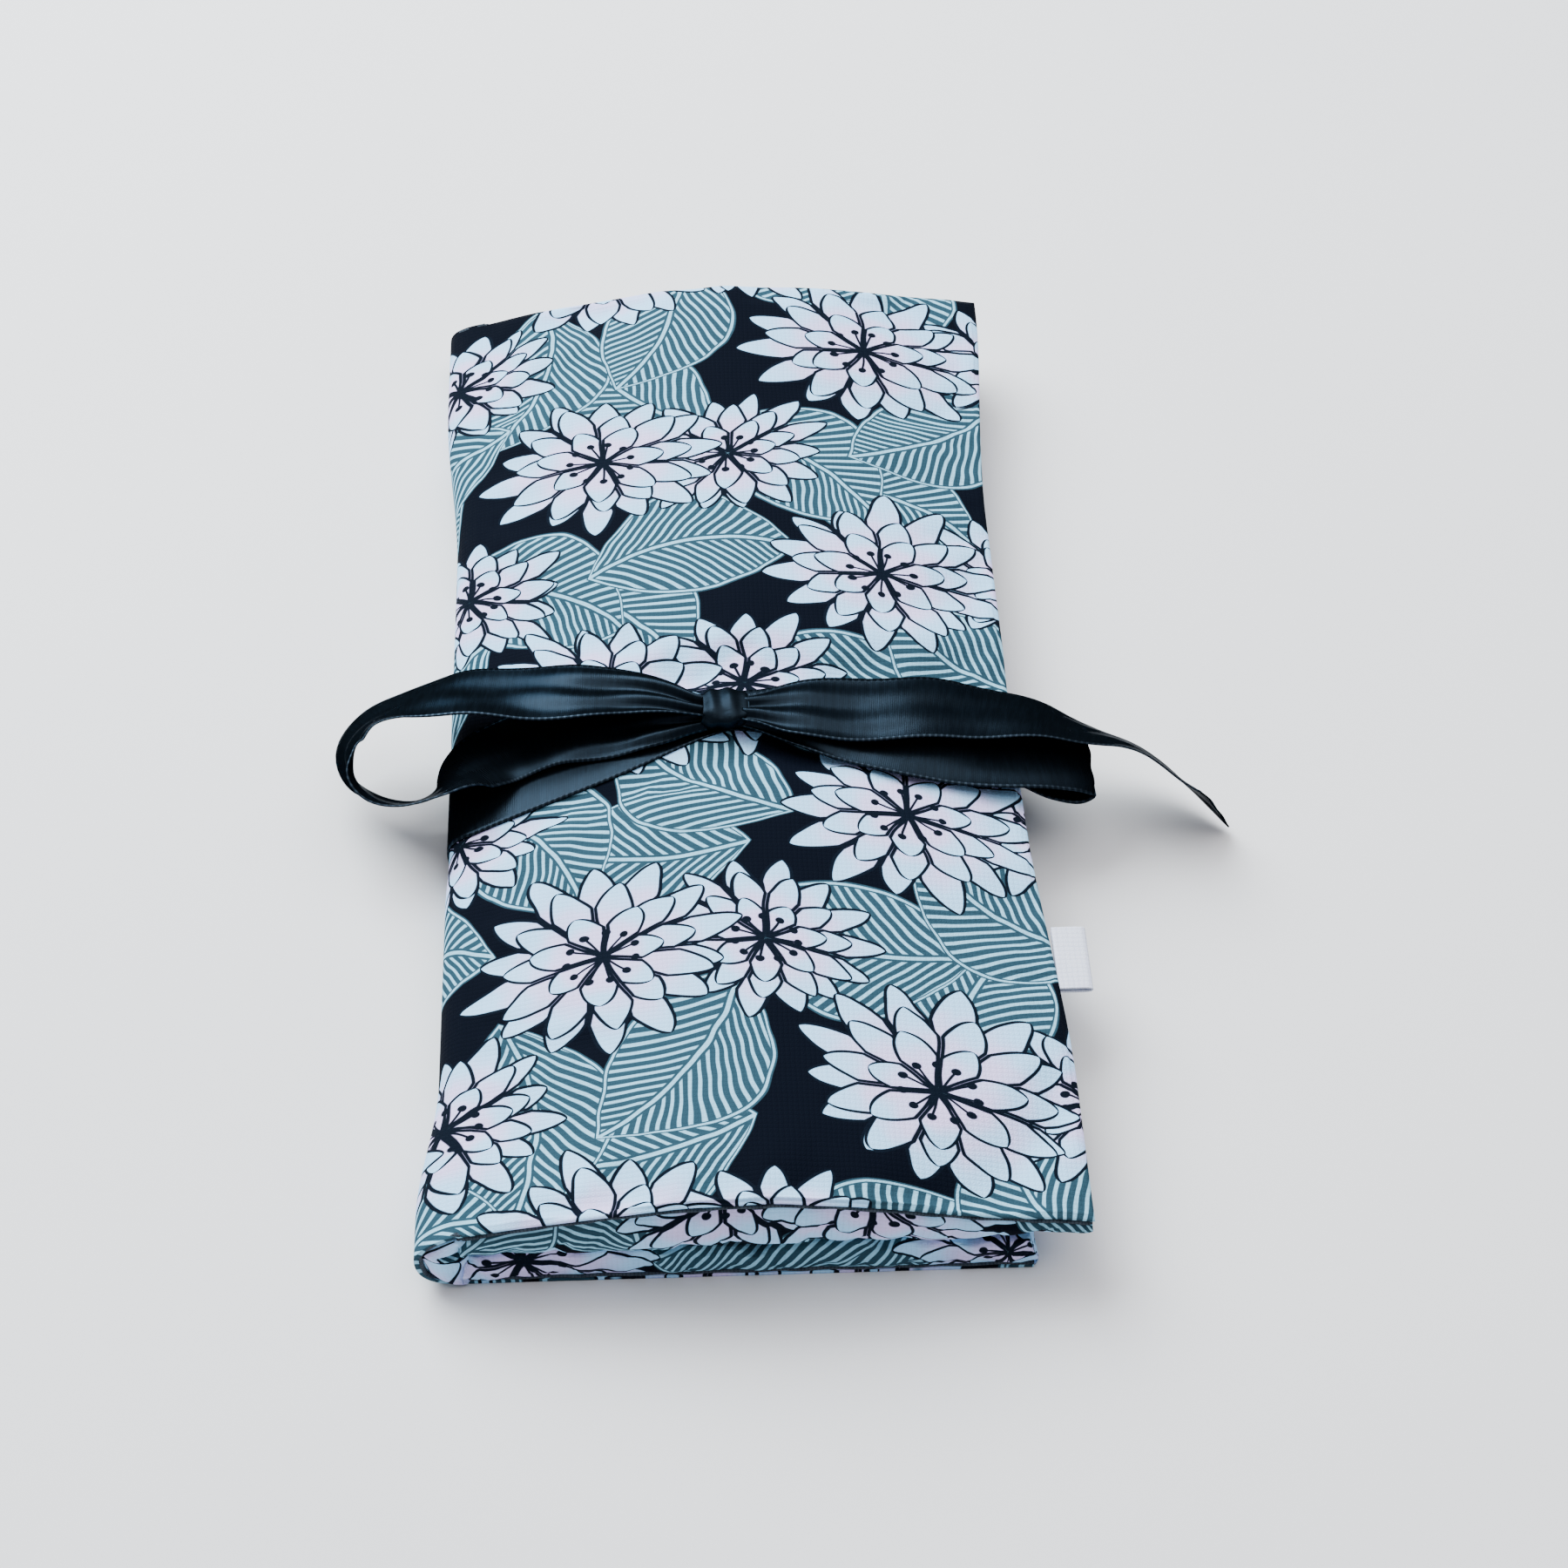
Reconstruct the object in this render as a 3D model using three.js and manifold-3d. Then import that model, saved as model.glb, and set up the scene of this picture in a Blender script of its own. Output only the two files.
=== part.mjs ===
// Travel jewelry pouch, closed and tied: two padded panels folded like a book round a soft spine, with zipped and slip
// pockets and a ring bar inside, and a satin ribbon tied in a bow round the bundle.
// Millimetres. +X runs across the pouch from the fold to the free edge, +Y along it, +Z up. The origin is on the
// underside, at the middle of the back panel.
import * as THREE from 'three';
import { mergeVertices } from 'three/addons/utils/BufferGeometryUtils.js';
import Module from 'manifold-3d';

// Driving dimensions: the folded pouch
const LENGTH = 215;
const FOLD_X = -53.5;
const COVER_EDGE_X = 54.5;
const BACK_EDGE_X = 46;
const PANEL_START_X = -46;
const FABRIC = 1.0;
const LINING = 0.8;
const LINING_EDGE = 0.4;
const GAP = 0.3;
const WAIST = 3;
const WAIST_Y = 12;
const WAIST_SLOPE = 60;
const WAIST_FROM_X = 20;
const HALF = LENGTH / 2;
const WAIST_REACH = HALF - 12.5;

// Driving dimensions: the cover's crown
const PEAK_X = 1;
const PEAK_Z = 20.8;
const FOLD_SIDE_DROP = 7.7;
const FOLD_SIDE_POWER = 1.64;
const EDGE_DROP = 5.8;
const EDGE_POWER = 1.4;

// Driving dimensions: padding and the hollow between the panels
const COVER_PAD = 4.9;
const COVER_FOLD_PAD = 4.2;
const COVER_EDGE_PAD = 2.3;
const COVER_BORDER_Z = 8.9;
const BACK_FLOOR_Z = 4.6;
const BACK_BORDER_Z = 8.6;
const BORDER_LENGTH = 12;
const BORDER_SLOPE = 4;
const SIDE_BORDER = 4;
const SIDE_SLOPE = 2;
const COVER_WALL = 4.2;
const BACK_WALL = 2.4;
const POCKET_END = HALF - BORDER_LENGTH - BORDER_SLOPE;
const PANEL_TUCK = 0.2;
const SLIP_END = POCKET_END + PANEL_TUCK;

// Driving dimensions: the ribbon
const RIBBON_WIDTH = 15;
const RIBBON = 0.5;
const RIBBON_OFF = 0.35;
const KNOT_X = -1;
const KNOT_Y = -4.5;
const BAND_SLANT = 0.3;
const UNDER_SLANT = 0.143;
const UNDER_Y = -12.5;
const SLANT_REACH = HALF - 37.5;
const FLAT_BED = RIBBON_WIDTH / 2 + 0.3;
const PINCH = 1.3;
const PINCH_REACH = 20;
const SPINE_PINCH = 0.4;
const GROOVE = 0.9;
const KNOT_LENGTH = 9.2;
const KNOT_HEIGHT = 4.8;
const KNOT_NEARER = 2.3;

// Driving dimensions: the zips
const CHAIN_START = -POCKET_END + 6.5;
const SLIDER_Y = POCKET_END - 11.5;
const TAPE_END = POCKET_END + 0.3;
const TAPE_WIDTH = 10;
const TAPE = 0.6;
const TAPE_INNER = 2.6;
const TOOTH_PITCH = 4;
const TOOTH_GAP = 0.35;
const CHAIN_HALF = 2.3;
const CHAIN_EDGE = 1.3;
const TOOTH_REACH = 1.0;
const CHAIN_HEIGHT = 1.7;
const PLATE_LOW = 1.15;
const PLATE_HIGH = 1.95;
const PULL_END = 21.5;
const PULL_WIDTH = 7;
const POCKET_EDGE = 5.2;
const BACK_ZIP_X = 25.5;
const BACK_ZIP_Z = 7;
const COVER_ZIP_X = -20;
const COVER_ZIP_Z = 10.7;

// Driving dimensions: the ring bar, its snap, the slip pockets and the label
const BAR_RADIUS = 3.3;
const BAR_Z = 8.2;
const TAB_HALF_WIDTH = 5;
const TAB_HALF_THICK = 0.7;
const SNAP_TAB_Z = 8.3;
const SNAP_Y = -POCKET_END + 7.5;
const ANCHOR_Y = POCKET_END - 6.5;
const SNAP_RADIUS = 4.5;
const POCKET_CLOTH = 0.6;
const LABEL_WIDTH = 12.7;
const LABEL_REACH = 6.4;
const LABEL_Y = -56.5;

const wasm = await Module();
wasm.setup();

const colours = {
  print: new THREE.MeshStandardMaterial({ color: 0x8fa8b4, roughness: 0.9 }),
  lining: new THREE.MeshStandardMaterial({ color: 0x2b3645, roughness: 0.92 }),
  wadding: new THREE.MeshStandardMaterial({ color: 0xeeebe2, roughness: 1.0 }),
  satin: new THREE.MeshStandardMaterial({ color: 0x10161f, roughness: 0.35 }),
  tape: new THREE.MeshStandardMaterial({ color: 0x1b2430, roughness: 0.85 }),
  teeth: new THREE.MeshStandardMaterial({ color: 0x232c38, roughness: 0.5 }),
  metal: new THREE.MeshStandardMaterial({ color: 0x9aa0a6, roughness: 0.3, metalness: 0.9 }),
  label: new THREE.MeshStandardMaterial({ color: 0xdde2ee, roughness: 0.8 }),
};

const clamp = (value, low, high) => Math.min(high, Math.max(low, value));
const mix = (a, b, t) => a + (b - a) * t;
const at3 = (x, y, z) => new THREE.Vector3(x, y, z);

function smooth(t) {
  const s = clamp(t, 0, 1);
  return s * s * (3 - 2 * s);
}

// A wall's rounding: 0 at the rim, 1 once the distance passes the wall's width.
function rounding(distance, width) {
  const t = 1 - clamp(distance / width, 0, 1);
  return Math.sqrt(1 - t * t);
}

function piece(name, geometry, material) {
  geometry.computeVertexNormals();
  const mesh = new THREE.Mesh(geometry, material);
  mesh.name = name;
  return mesh;
}

// Turns every face of an indexed geometry outwards, going by its signed volume.
function facingOut(geometry) {
  const place = geometry.getAttribute('position');
  const index = geometry.index.array;
  const corners = [at3(0, 0, 0), at3(0, 0, 0), at3(0, 0, 0)];
  let volume = 0;
  for (let i = 0; i < index.length; i += 3) {
    corners.forEach((corner, k) => corner.fromBufferAttribute(place, index[i + k]));
    volume += corners[0].dot(corners[1].clone().cross(corners[2]));
  }
  if (volume < 0) {
    for (let i = 0; i < index.length; i += 3) {
      [index[i + 1], index[i + 2]] = [index[i + 2], index[i + 1]];
    }
  }
  return geometry;
}

function indexed(points, faces) {
  const geometry = new THREE.BufferGeometry().setFromPoints(points);
  geometry.setIndex(faces);
  return facingOut(geometry);
}

// A closed solid between two surfaces over one grid, with a wall round the rim.
function sheetSolid(front, back, us, vs) {
  const points = [];
  for (const surface of [front, back]) {
    for (const v of vs) {
      for (const u of us) {
        points.push(surface(u, v));
      }
    }
  }
  const nu = us.length;
  const nv = vs.length;
  const at = (side, i, j) => (side * nv + j) * nu + i;
  const faces = [];
  const quad = (a, b, c, d) => faces.push(a, b, c, a, c, d);
  for (let j = 0; j < nv - 1; j += 1) {
    for (let i = 0; i < nu - 1; i += 1) {
      quad(at(0, i, j), at(0, i + 1, j), at(0, i + 1, j + 1), at(0, i, j + 1));
      faces.push(at(1, i, j), at(1, i + 1, j + 1), at(1, i + 1, j));
      faces.push(at(1, i, j), at(1, i, j + 1), at(1, i + 1, j + 1));
    }
  }
  for (let i = 0; i < nu - 1; i += 1) {
    quad(at(0, i + 1, 0), at(0, i, 0), at(1, i, 0), at(1, i + 1, 0));
    quad(at(0, i, nv - 1), at(0, i + 1, nv - 1), at(1, i + 1, nv - 1), at(1, i, nv - 1));
  }
  for (let j = 0; j < nv - 1; j += 1) {
    quad(at(0, 0, j), at(0, 0, j + 1), at(1, 0, j + 1), at(1, 0, j));
    quad(at(0, nu - 1, j + 1), at(0, nu - 1, j), at(1, nu - 1, j), at(1, nu - 1, j + 1));
  }
  return indexed(points, faces);
}

// A closed solid through rings of equal point count, capped by a fan at each end.
function loftSolid(rings) {
  const count = rings[0].length;
  const points = rings.flat();
  const faces = [];
  for (let r = 0; r < rings.length - 1; r += 1) {
    for (let k = 0; k < count; k += 1) {
      const a = r * count + k;
      const b = r * count + ((k + 1) % count);
      faces.push(a, b, b + count, a, b + count, a + count);
    }
  }
  [0, rings.length - 1].forEach((r) => {
    const middle = points.length;
    const centre = at3(0, 0, 0);
    rings[r].forEach((point) => centre.add(point));
    points.push(centre.divideScalar(count));
    for (let k = 0; k < count; k += 1) {
      const a = r * count + k;
      const b = r * count + ((k + 1) % count);
      if (r === 0) {
        faces.push(b, a, middle);
      } else {
        faces.push(a, b, middle);
      }
    }
  });
  return indexed(points, faces);
}

function toSolid(geometry) {
  const bare = geometry.clone();
  bare.deleteAttribute('normal');
  bare.deleteAttribute('uv');
  const merged = mergeVertices(bare, 1e-4);
  return new wasm.Manifold(new wasm.Mesh({
    numProp: 3,
    vertProperties: new Float32Array(merged.getAttribute('position').array),
    triVerts: new Uint32Array(merged.index.array),
  }));
}

function fromSolid(solid) {
  const mesh = solid.getMesh();
  const geometry = new THREE.BufferGeometry();
  geometry.setAttribute('position', new THREE.BufferAttribute(new Float32Array(mesh.vertProperties), 3));
  geometry.setIndex(new THREE.BufferAttribute(new Uint32Array(mesh.triVerts), 1));
  return geometry;
}

function joined(geometries) {
  return fromSolid(geometries.map(toSolid).reduce((a, b) => a.add(b)));
}

function cut(geometry, tools) {
  return fromSolid(tools.map(toSolid).reduce((a, b) => a.subtract(b), toSolid(geometry)));
}

function box(x0, x1, y0, y1, z0, z1) {
  const geometry = new THREE.BoxGeometry(x1 - x0, y1 - y0, z1 - z0);
  return geometry.translate((x0 + x1) / 2, (y0 + y1) / 2, (z0 + z1) / 2);
}

// A flat outline in X and Y, raised from z0 to z1.
function raised(outline, z0, z1) {
  const shape = new THREE.Shape(outline.map(([x, y]) => new THREE.Vector2(x, y)));
  const geometry = new THREE.ExtrudeGeometry(shape, { depth: z1 - z0, bevelEnabled: false });
  return geometry.translate(0, 0, z0);
}

// A flat outline in X and Z, drawn out along Y from y0 to y1.
function drawnOut(outline, y0, y1) {
  const turnedOutline = outline.map(([x, z]) => [x, -z]);
  return raised(turnedOutline, y0, y1).rotateX(-Math.PI / 2);
}

// A profile in radius and height turned about an upright axis.
function turned(profile, segments) {
  const points = profile.map(([r, z]) => new THREE.Vector2(r, z));
  return facingOut(new THREE.LatheGeometry(points, segments).rotateX(Math.PI / 2));
}

// The ribbon's route across the top and underneath
const bandY = (x) => KNOT_Y + BAND_SLANT * Math.min(x, 0);
const underY = (x) => UNDER_Y + UNDER_SLANT * x;
const squeeze = (y, middle) => smooth((PINCH_REACH - Math.abs(y - middle)) / (PINCH_REACH - FLAT_BED - 0.2));

// Grid lines along the panels lean with the ribbon where it crosses and are straight further off.
function overLine(x, v) {
  const share = clamp((SLANT_REACH - Math.abs(v - KNOT_Y)) / (SLANT_REACH - 25), 0, 1);
  return v + (bandY(x) - KNOT_Y) * share;
}

function underLine(x, v) {
  const share = clamp((SLANT_REACH - Math.abs(v - UNDER_Y)) / (SLANT_REACH - 10), 0, 1);
  return v + UNDER_SLANT * x * share;
}

// The cover's upper surface
function crown(x) {
  if (x < PEAK_X) {
    return PEAK_Z - FOLD_SIDE_DROP * ((PEAK_X - x) / (PEAK_X - PANEL_START_X)) ** FOLD_SIDE_POWER;
  }
  return PEAK_Z - EDGE_DROP * ((x - PEAK_X) / (COVER_EDGE_X - PEAK_X)) ** EDGE_POWER;
}

const coverTop = (x, y) => crown(x) - PINCH * squeeze(y, bandY(x));

// The ribbon draws both sides in, most near the middle of the length.
const waist = (y) => WAIST * smooth((WAIST_REACH - Math.abs(y - WAIST_Y)) / WAIST_SLOPE);
const coverX = (x, y) => x - waist(y) * smooth((x - WAIST_FROM_X) / (COVER_EDGE_X - WAIST_FROM_X));

// A point of the cover, from a grid's X and line and a height over both.
function coverPoint(x, v, height) {
  const y = overLine(x, v);
  return at3(coverX(x, y), y, height(x, y));
}

// 0 over the pockets, 1 over the padded borders at the two ends.
const endBorder = (y) => smooth((Math.abs(y) - POCKET_END) / BORDER_SLOPE);

function coverPad(x) {
  const rightward = clamp((x - PEAK_X) / (COVER_EDGE_X - PEAK_X), 0, 1) ** 1.5;
  const leftward = smooth((-26 - x) / 15);
  return mix(COVER_PAD, COVER_EDGE_PAD, rightward) - (COVER_PAD - COVER_FOLD_PAD) * leftward;
}

// The cover's padded underside, which takes up the ribbon's squeeze towards the thin free edge.
function coverUnderside(x, y) {
  const inside = crown(x) - coverPad(x) - PINCH * squeeze(y, bandY(x)) * smooth((x - 30) / 15);
  const edge = crown(COVER_EDGE_X) - COVER_EDGE_PAD;
  const rise = (edge - COVER_BORDER_Z) * clamp((x - 20) / (COVER_EDGE_X - 20), 0, 1) ** 3;
  return mix(inside, COVER_BORDER_Z + rise, endBorder(y));
}

// The cover's lining turns up to the outer fabric at both ends and at the fold. A depth of 0 is its outside.
function coverLining(x, y, depth) {
  const inset = depth > 0 ? LINING : 0;
  const edge = depth > 0 ? 0 : LINING_EDGE;
  const rim = coverTop(x, y) - FABRIC - GAP - edge;
  const low = coverUnderside(x, y) + inset;
  const endWall = rounding(Math.max(HALF - Math.abs(y) - inset, 0), COVER_WALL);
  const foldWall = rounding(Math.max(x - PANEL_START_X - inset, 0), COVER_WALL);
  return mix(rim, low, Math.min(endWall, foldWall));
}

function backUpper(x, y) {
  const side = smooth((x - (BACK_EDGE_X - SIDE_BORDER - SIDE_SLOPE)) / SIDE_SLOPE);
  return mix(BACK_FLOOR_Z, BACK_BORDER_Z, Math.max(side, endBorder(y)));
}

const bed = (v) => (Math.abs(v - UNDER_Y) <= FLAT_BED + 0.01 ? GROOVE : 0);

// The back's lining stands up from the outer fabric in walls at the free edge, the fold and the two ends.
function backLining(x, v, depth) {
  const y = underLine(x, v);
  const inset = depth > 0 ? LINING : 0;
  const edge = depth > 0 ? 0 : LINING_EDGE;
  const rim = FABRIC + GAP + bed(v) + edge;
  const high = backUpper(x, y) - inset;
  const distances = [HALF - Math.abs(y), BACK_EDGE_X - x, x - PANEL_START_X];
  const wall = Math.min(...distances.map((distance) => rounding(Math.max(distance - inset, 0), BACK_WALL)));
  return mix(rim, high, wall);
}

const BACK_BANDS = [
  UNDER_Y - FLAT_BED - 1.2,
  UNDER_Y - FLAT_BED,
  UNDER_Y + FLAT_BED,
  UNDER_Y + FLAT_BED + 1.2,
];
const PINCH_STEPS = [-20, -16, -12, -8, 8, 12, 16, 20];
const MIDWAY = (SLANT_REACH + PINCH_REACH) / 2;
const COVER_BANDS = [-SLANT_REACH, -MIDWAY, ...PINCH_STEPS, MIDWAY, SLANT_REACH].map((d) => KNOT_Y + d);
const CROWN_STEPS = [-33, -26, -18, -8, 2, 12, 22, 32, 41, 49];

// Steps from one end of a panel to the other, with the same distances from each end.
const fromEnds = (distances, middle) => [
  ...distances.map((d) => d - HALF),
  ...middle,
  ...distances.map((d) => HALF - d).reverse(),
];
const BORDER_STEPS = [BORDER_LENGTH, BORDER_LENGTH + BORDER_SLOPE / 2, BORDER_LENGTH + BORDER_SLOPE];

// The back panel, which lies on the table
function backPanel() {
  const outerX = [PANEL_START_X, BACK_EDGE_X];
  const outerY = [-HALF, UNDER_Y - SLANT_REACH, ...BACK_BANDS, UNDER_Y + SLANT_REACH, HALF];
  const under = (x, v) => at3(x, underLine(x, v), bed(v));
  const over = (x, v) => at3(x, underLine(x, v), bed(v) + FABRIC);
  const outer = sheetSolid(over, under, outerX, outerY);

  const wallSteps = [0, LINING, 1.3, BACK_WALL + LINING];
  const middle = [UNDER_Y - SLANT_REACH, ...BACK_BANDS, UNDER_Y + SLANT_REACH];
  const liningY = fromEnds([...wallSteps, ...BORDER_STEPS], middle);
  const side = BACK_EDGE_X - SIDE_BORDER;
  const liningX = [
    ...wallSteps.map((d) => PANEL_START_X + d),
    side - SIDE_SLOPE,
    side - SIDE_SLOPE / 2,
    side,
    ...wallSteps.map((d) => BACK_EDGE_X - d).reverse(),
  ];
  const face = (x, v) => at3(x, underLine(x, v), backLining(x, v, 0));
  const inner = (x, v) => at3(x, underLine(x, v), backLining(x, v, 1));
  const lining = sheetSolid(face, inner, liningX, liningY);

  const inset = BACK_WALL + LINING;
  const padX = liningX.filter((x) => x >= PANEL_START_X + inset - 0.01 && x <= BACK_EDGE_X - inset + 0.01);
  const padY = liningY.filter((y) => Math.abs(y) <= HALF - inset + 0.01);
  const padTop = (x, v) => at3(x, underLine(x, v), backLining(x, v, 1) - GAP);
  const padLow = (x, v) => at3(x, underLine(x, v), FABRIC + GAP + bed(v));
  const wadding = sheetSolid(padTop, padLow, padX, padY);
  return [
    piece('back_outer', outer, colours.print),
    piece('back_wadding', wadding, colours.wadding),
    piece('back_lining', lining, colours.print),
  ];
}

// The cover panel
function coverPanel() {
  const inset = COVER_WALL + LINING;
  const outerX = [PANEL_START_X, PANEL_START_X + inset, ...CROWN_STEPS, COVER_EDGE_X];
  const outerY = [-HALF, -POCKET_END, ...COVER_BANDS, POCKET_END, HALF];
  const top = (x, v) => coverPoint(x, v, coverTop);
  const underOuter = (x, v) => coverPoint(x, v, (px, py) => coverTop(px, py) - FABRIC);
  const outer = sheetSolid(top, underOuter, outerX, outerY);

  const wallSteps = [0, LINING, 1.4, 2.6, inset];
  const liningY = fromEnds([...wallSteps, ...BORDER_STEPS], [...COVER_BANDS]);
  const liningX = [...wallSteps.map((d) => PANEL_START_X + d), ...CROWN_STEPS, COVER_EDGE_X];
  const face = (x, v) => coverPoint(x, v, (px, py) => coverLining(px, py, 0));
  const inner = (x, v) => coverPoint(x, v, (px, py) => coverLining(px, py, 1));
  const lining = sheetSolid(inner, face, liningX, liningY);

  const padX = liningX.filter((x) => x >= PANEL_START_X + inset - 0.01 && x <= 49.01);
  const padY = liningY.filter((y) => Math.abs(y) <= HALF - inset + 0.01);
  const padTop = (x, v) => coverPoint(x, v, (px, py) => coverTop(px, py) - FABRIC - GAP);
  const padLow = (x, v) => coverPoint(x, v, (px, py) => coverLining(px, py, 1) + GAP);
  const wadding = sheetSolid(padTop, padLow, padX, padY);
  return [
    piece('cover_outer', outer, colours.print),
    piece('cover_wadding', wadding, colours.wadding),
    piece('cover_lining', lining, colours.print),
  ];
}

// The soft spine at the fold, drawn in where the ribbon goes round it
const SPINE_TOP = new THREE.CubicBezierCurve(
  new THREE.Vector2(PANEL_START_X - GAP, crown(PANEL_START_X)),
  new THREE.Vector2(-49.7, 12.2),
  new THREE.Vector2(FOLD_X, 10.8),
  new THREE.Vector2(FOLD_X, 7.4),
);
const SPINE_LOW = new THREE.CubicBezierCurve(
  new THREE.Vector2(FOLD_X, 7.4),
  new THREE.Vector2(FOLD_X, 3.4),
  new THREE.Vector2(-52.2, 0),
  new THREE.Vector2(PANEL_START_X - GAP, 0),
);
const SPINE_STEPS = [0, 0.1, 0.2, 0.3, 0.4, 0.5, 0.6, 0.7, 0.8, 0.9, 1];
const TURN_Y = [bandY(PANEL_START_X), underY(PANEL_START_X)];

function spineAt(t, y) {
  const base = t < 0.5 ? SPINE_TOP.getPoint(t * 2) : SPINE_LOW.getPoint(t * 2 - 1);
  const amount = t < 0.5 ? mix(PINCH, SPINE_PINCH, t * 2) : mix(SPINE_PINCH, GROOVE, t * 2 - 1);
  const pull = amount * squeeze(y, mix(TURN_Y[0], TURN_Y[1], t));
  const angle = Math.PI * (t - 0.5);
  base.x += waist(y) * Math.sin(Math.PI * t);
  return base.add(new THREE.Vector2(Math.cos(angle), Math.sin(angle)).multiplyScalar(pull));
}

// The direction into the fold's hollow, square to the spine.
function spineInward(t, y) {
  if (t === 0 || t === 1) {
    return new THREE.Vector2(0, t === 0 ? -1 : 1);
  }
  const along = spineAt(t + 0.01, y).sub(spineAt(t - 0.01, y)).normalize();
  return new THREE.Vector2(-along.y, along.x);
}

function spinePieces() {
  const place = (t, y, depth) => {
    const point = spineAt(t, y).add(spineInward(t, y).multiplyScalar(depth));
    return at3(point.x, y, point.y);
  };
  const turnMiddle = (TURN_Y[0] + TURN_Y[1]) / 2;
  const bands = PINCH_STEPS.map((d) => turnMiddle + d);
  const waistSteps = [0.25, 0.5, 0.75].map((share) => HALF - WAIST_SLOPE * share);
  const along = [-HALF, ...waistSteps.map((d) => -d), ...bands, ...waistSteps.reverse(), HALF];
  const outside = (t, y) => place(t, y, 0);
  const inside = (t, y) => place(t, y, FABRIC);
  const fabric = sheetSolid(outside, inside, SPINE_STEPS, along);

  const curve = new THREE.CubicBezierCurve(
    new THREE.Vector2(PANEL_START_X - 0.4, 9.4),
    new THREE.Vector2(-48.6, 9.2),
    new THREE.Vector2(-48.6, 3.4),
    new THREE.Vector2(PANEL_START_X - 0.4, 3.4),
  );
  const lineAt = (t, side) => {
    const point = curve.getPoint(t);
    const tangent = curve.getTangent(t);
    const level = t === 0 || t === 1;
    const normal = level ? new THREE.Vector2(0, t === 0 ? -1 : 1) : new THREE.Vector2(-tangent.y, tangent.x);
    return point.add(normal.multiplyScalar((side * LINING) / 2));
  };
  const liningFace = (side) => (t, y) => {
    const point = lineAt(t, side);
    return at3(point.x, y, point.y);
  };
  const liningSteps = [0, 0.125, 0.25, 0.375, 0.5, 0.625, 0.75, 0.875, 1];
  const lining = sheetSolid(liningFace(-1), liningFace(1), liningSteps, [-HALF + 1, HALF - 1]);
  return [
    piece('spine_fabric', fabric, colours.print),
    piece('spine_lining', lining, colours.print),
  ];
}

// One zip in its own frame: tape plane at z 0, slider at y SLIDER_Y, closed towards +Y, the pull on the +Z side
function teethRow(side) {
  const outline = [];
  const end = SLIDER_Y + 1.4;
  const tooth = TOOTH_PITCH / 2 - TOOTH_GAP;
  const start = CHAIN_START + (side > 0 ? TOOTH_PITCH / 2 : 0);
  outline.push([CHAIN_HALF, CHAIN_START], [CHAIN_EDGE, CHAIN_START]);
  for (let y = start; y + tooth <= end; y += TOOTH_PITCH) {
    outline.push([CHAIN_EDGE, y + 0.001], [-TOOTH_REACH, y + 0.15], [-TOOTH_REACH, y + tooth - 0.15]);
    outline.push([CHAIN_EDGE, y + tooth]);
  }
  outline.push([CHAIN_EDGE, end], [CHAIN_HALF, end]);
  const placed = outline.map(([x, y]) => [x * side, y]);
  return raised(placed, -CHAIN_HEIGHT / 2, CHAIN_HEIGHT / 2);
}

function sliderBody() {
  const half = [
    [3.2, -4.5],
    [4.5, 1.5],
    [4.3, 3],
    [3, 4.5],
  ];
  const outline = [...half, ...half.map(([x, y]) => [-x, y]).reverse()];
  const flange = (side, z0, z1) => box(side > 0 ? 2.7 : -3.2, side > 0 ? 3.2 : -2.7, -4.4, 0.5, z0, z1);
  return joined([
    raised(outline, PLATE_LOW, PLATE_HIGH),
    raised(outline, -PLATE_HIGH, -PLATE_LOW),
    raised([[0, 1.9], [1, 3.1], [0, 4.3], [-1, 3.1]], -PLATE_LOW - 0.2, PLATE_LOW + 0.2),
    flange(1, 0.55, PLATE_LOW + 0.2),
    flange(-1, 0.55, PLATE_LOW + 0.2),
    flange(1, -PLATE_LOW - 0.2, -0.55),
    flange(-1, -PLATE_LOW - 0.2, -0.55),
    box(-0.7, 0.7, -3, -2.1, PLATE_HIGH - 0.2, 4.35),
    box(-0.7, 0.7, 0.6, 1.5, PLATE_HIGH - 0.2, 4.35),
    box(-0.7, 0.7, -3, 1.5, 3.55, 4.35),
  ]);
}

function sliderPull() {
  const w = PULL_WIDTH / 2;
  const outline = [
    [-3.05, -0.3],
    [-3.05, -5.2],
    [-w, -7],
    [-w, -PULL_END + 2.5],
    [-w + 1.4, -PULL_END + 0.5],
    [-1, -PULL_END],
    [1, -PULL_END],
    [w - 1.4, -PULL_END + 0.5],
    [w, -PULL_END + 2.5],
    [w, -7],
    [3.05, -5.2],
    [3.05, -0.3],
  ];
  const hole = new THREE.CylinderGeometry(1.2, 1.2, 4, 12).rotateX(Math.PI / 2).translate(0, -PULL_END + 3.6, 2.75);
  return cut(raised(outline, 2.3, 3.2), [box(-2.15, 2.15, -5.2, -1.2, 2, 3.6), hole]);
}

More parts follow.
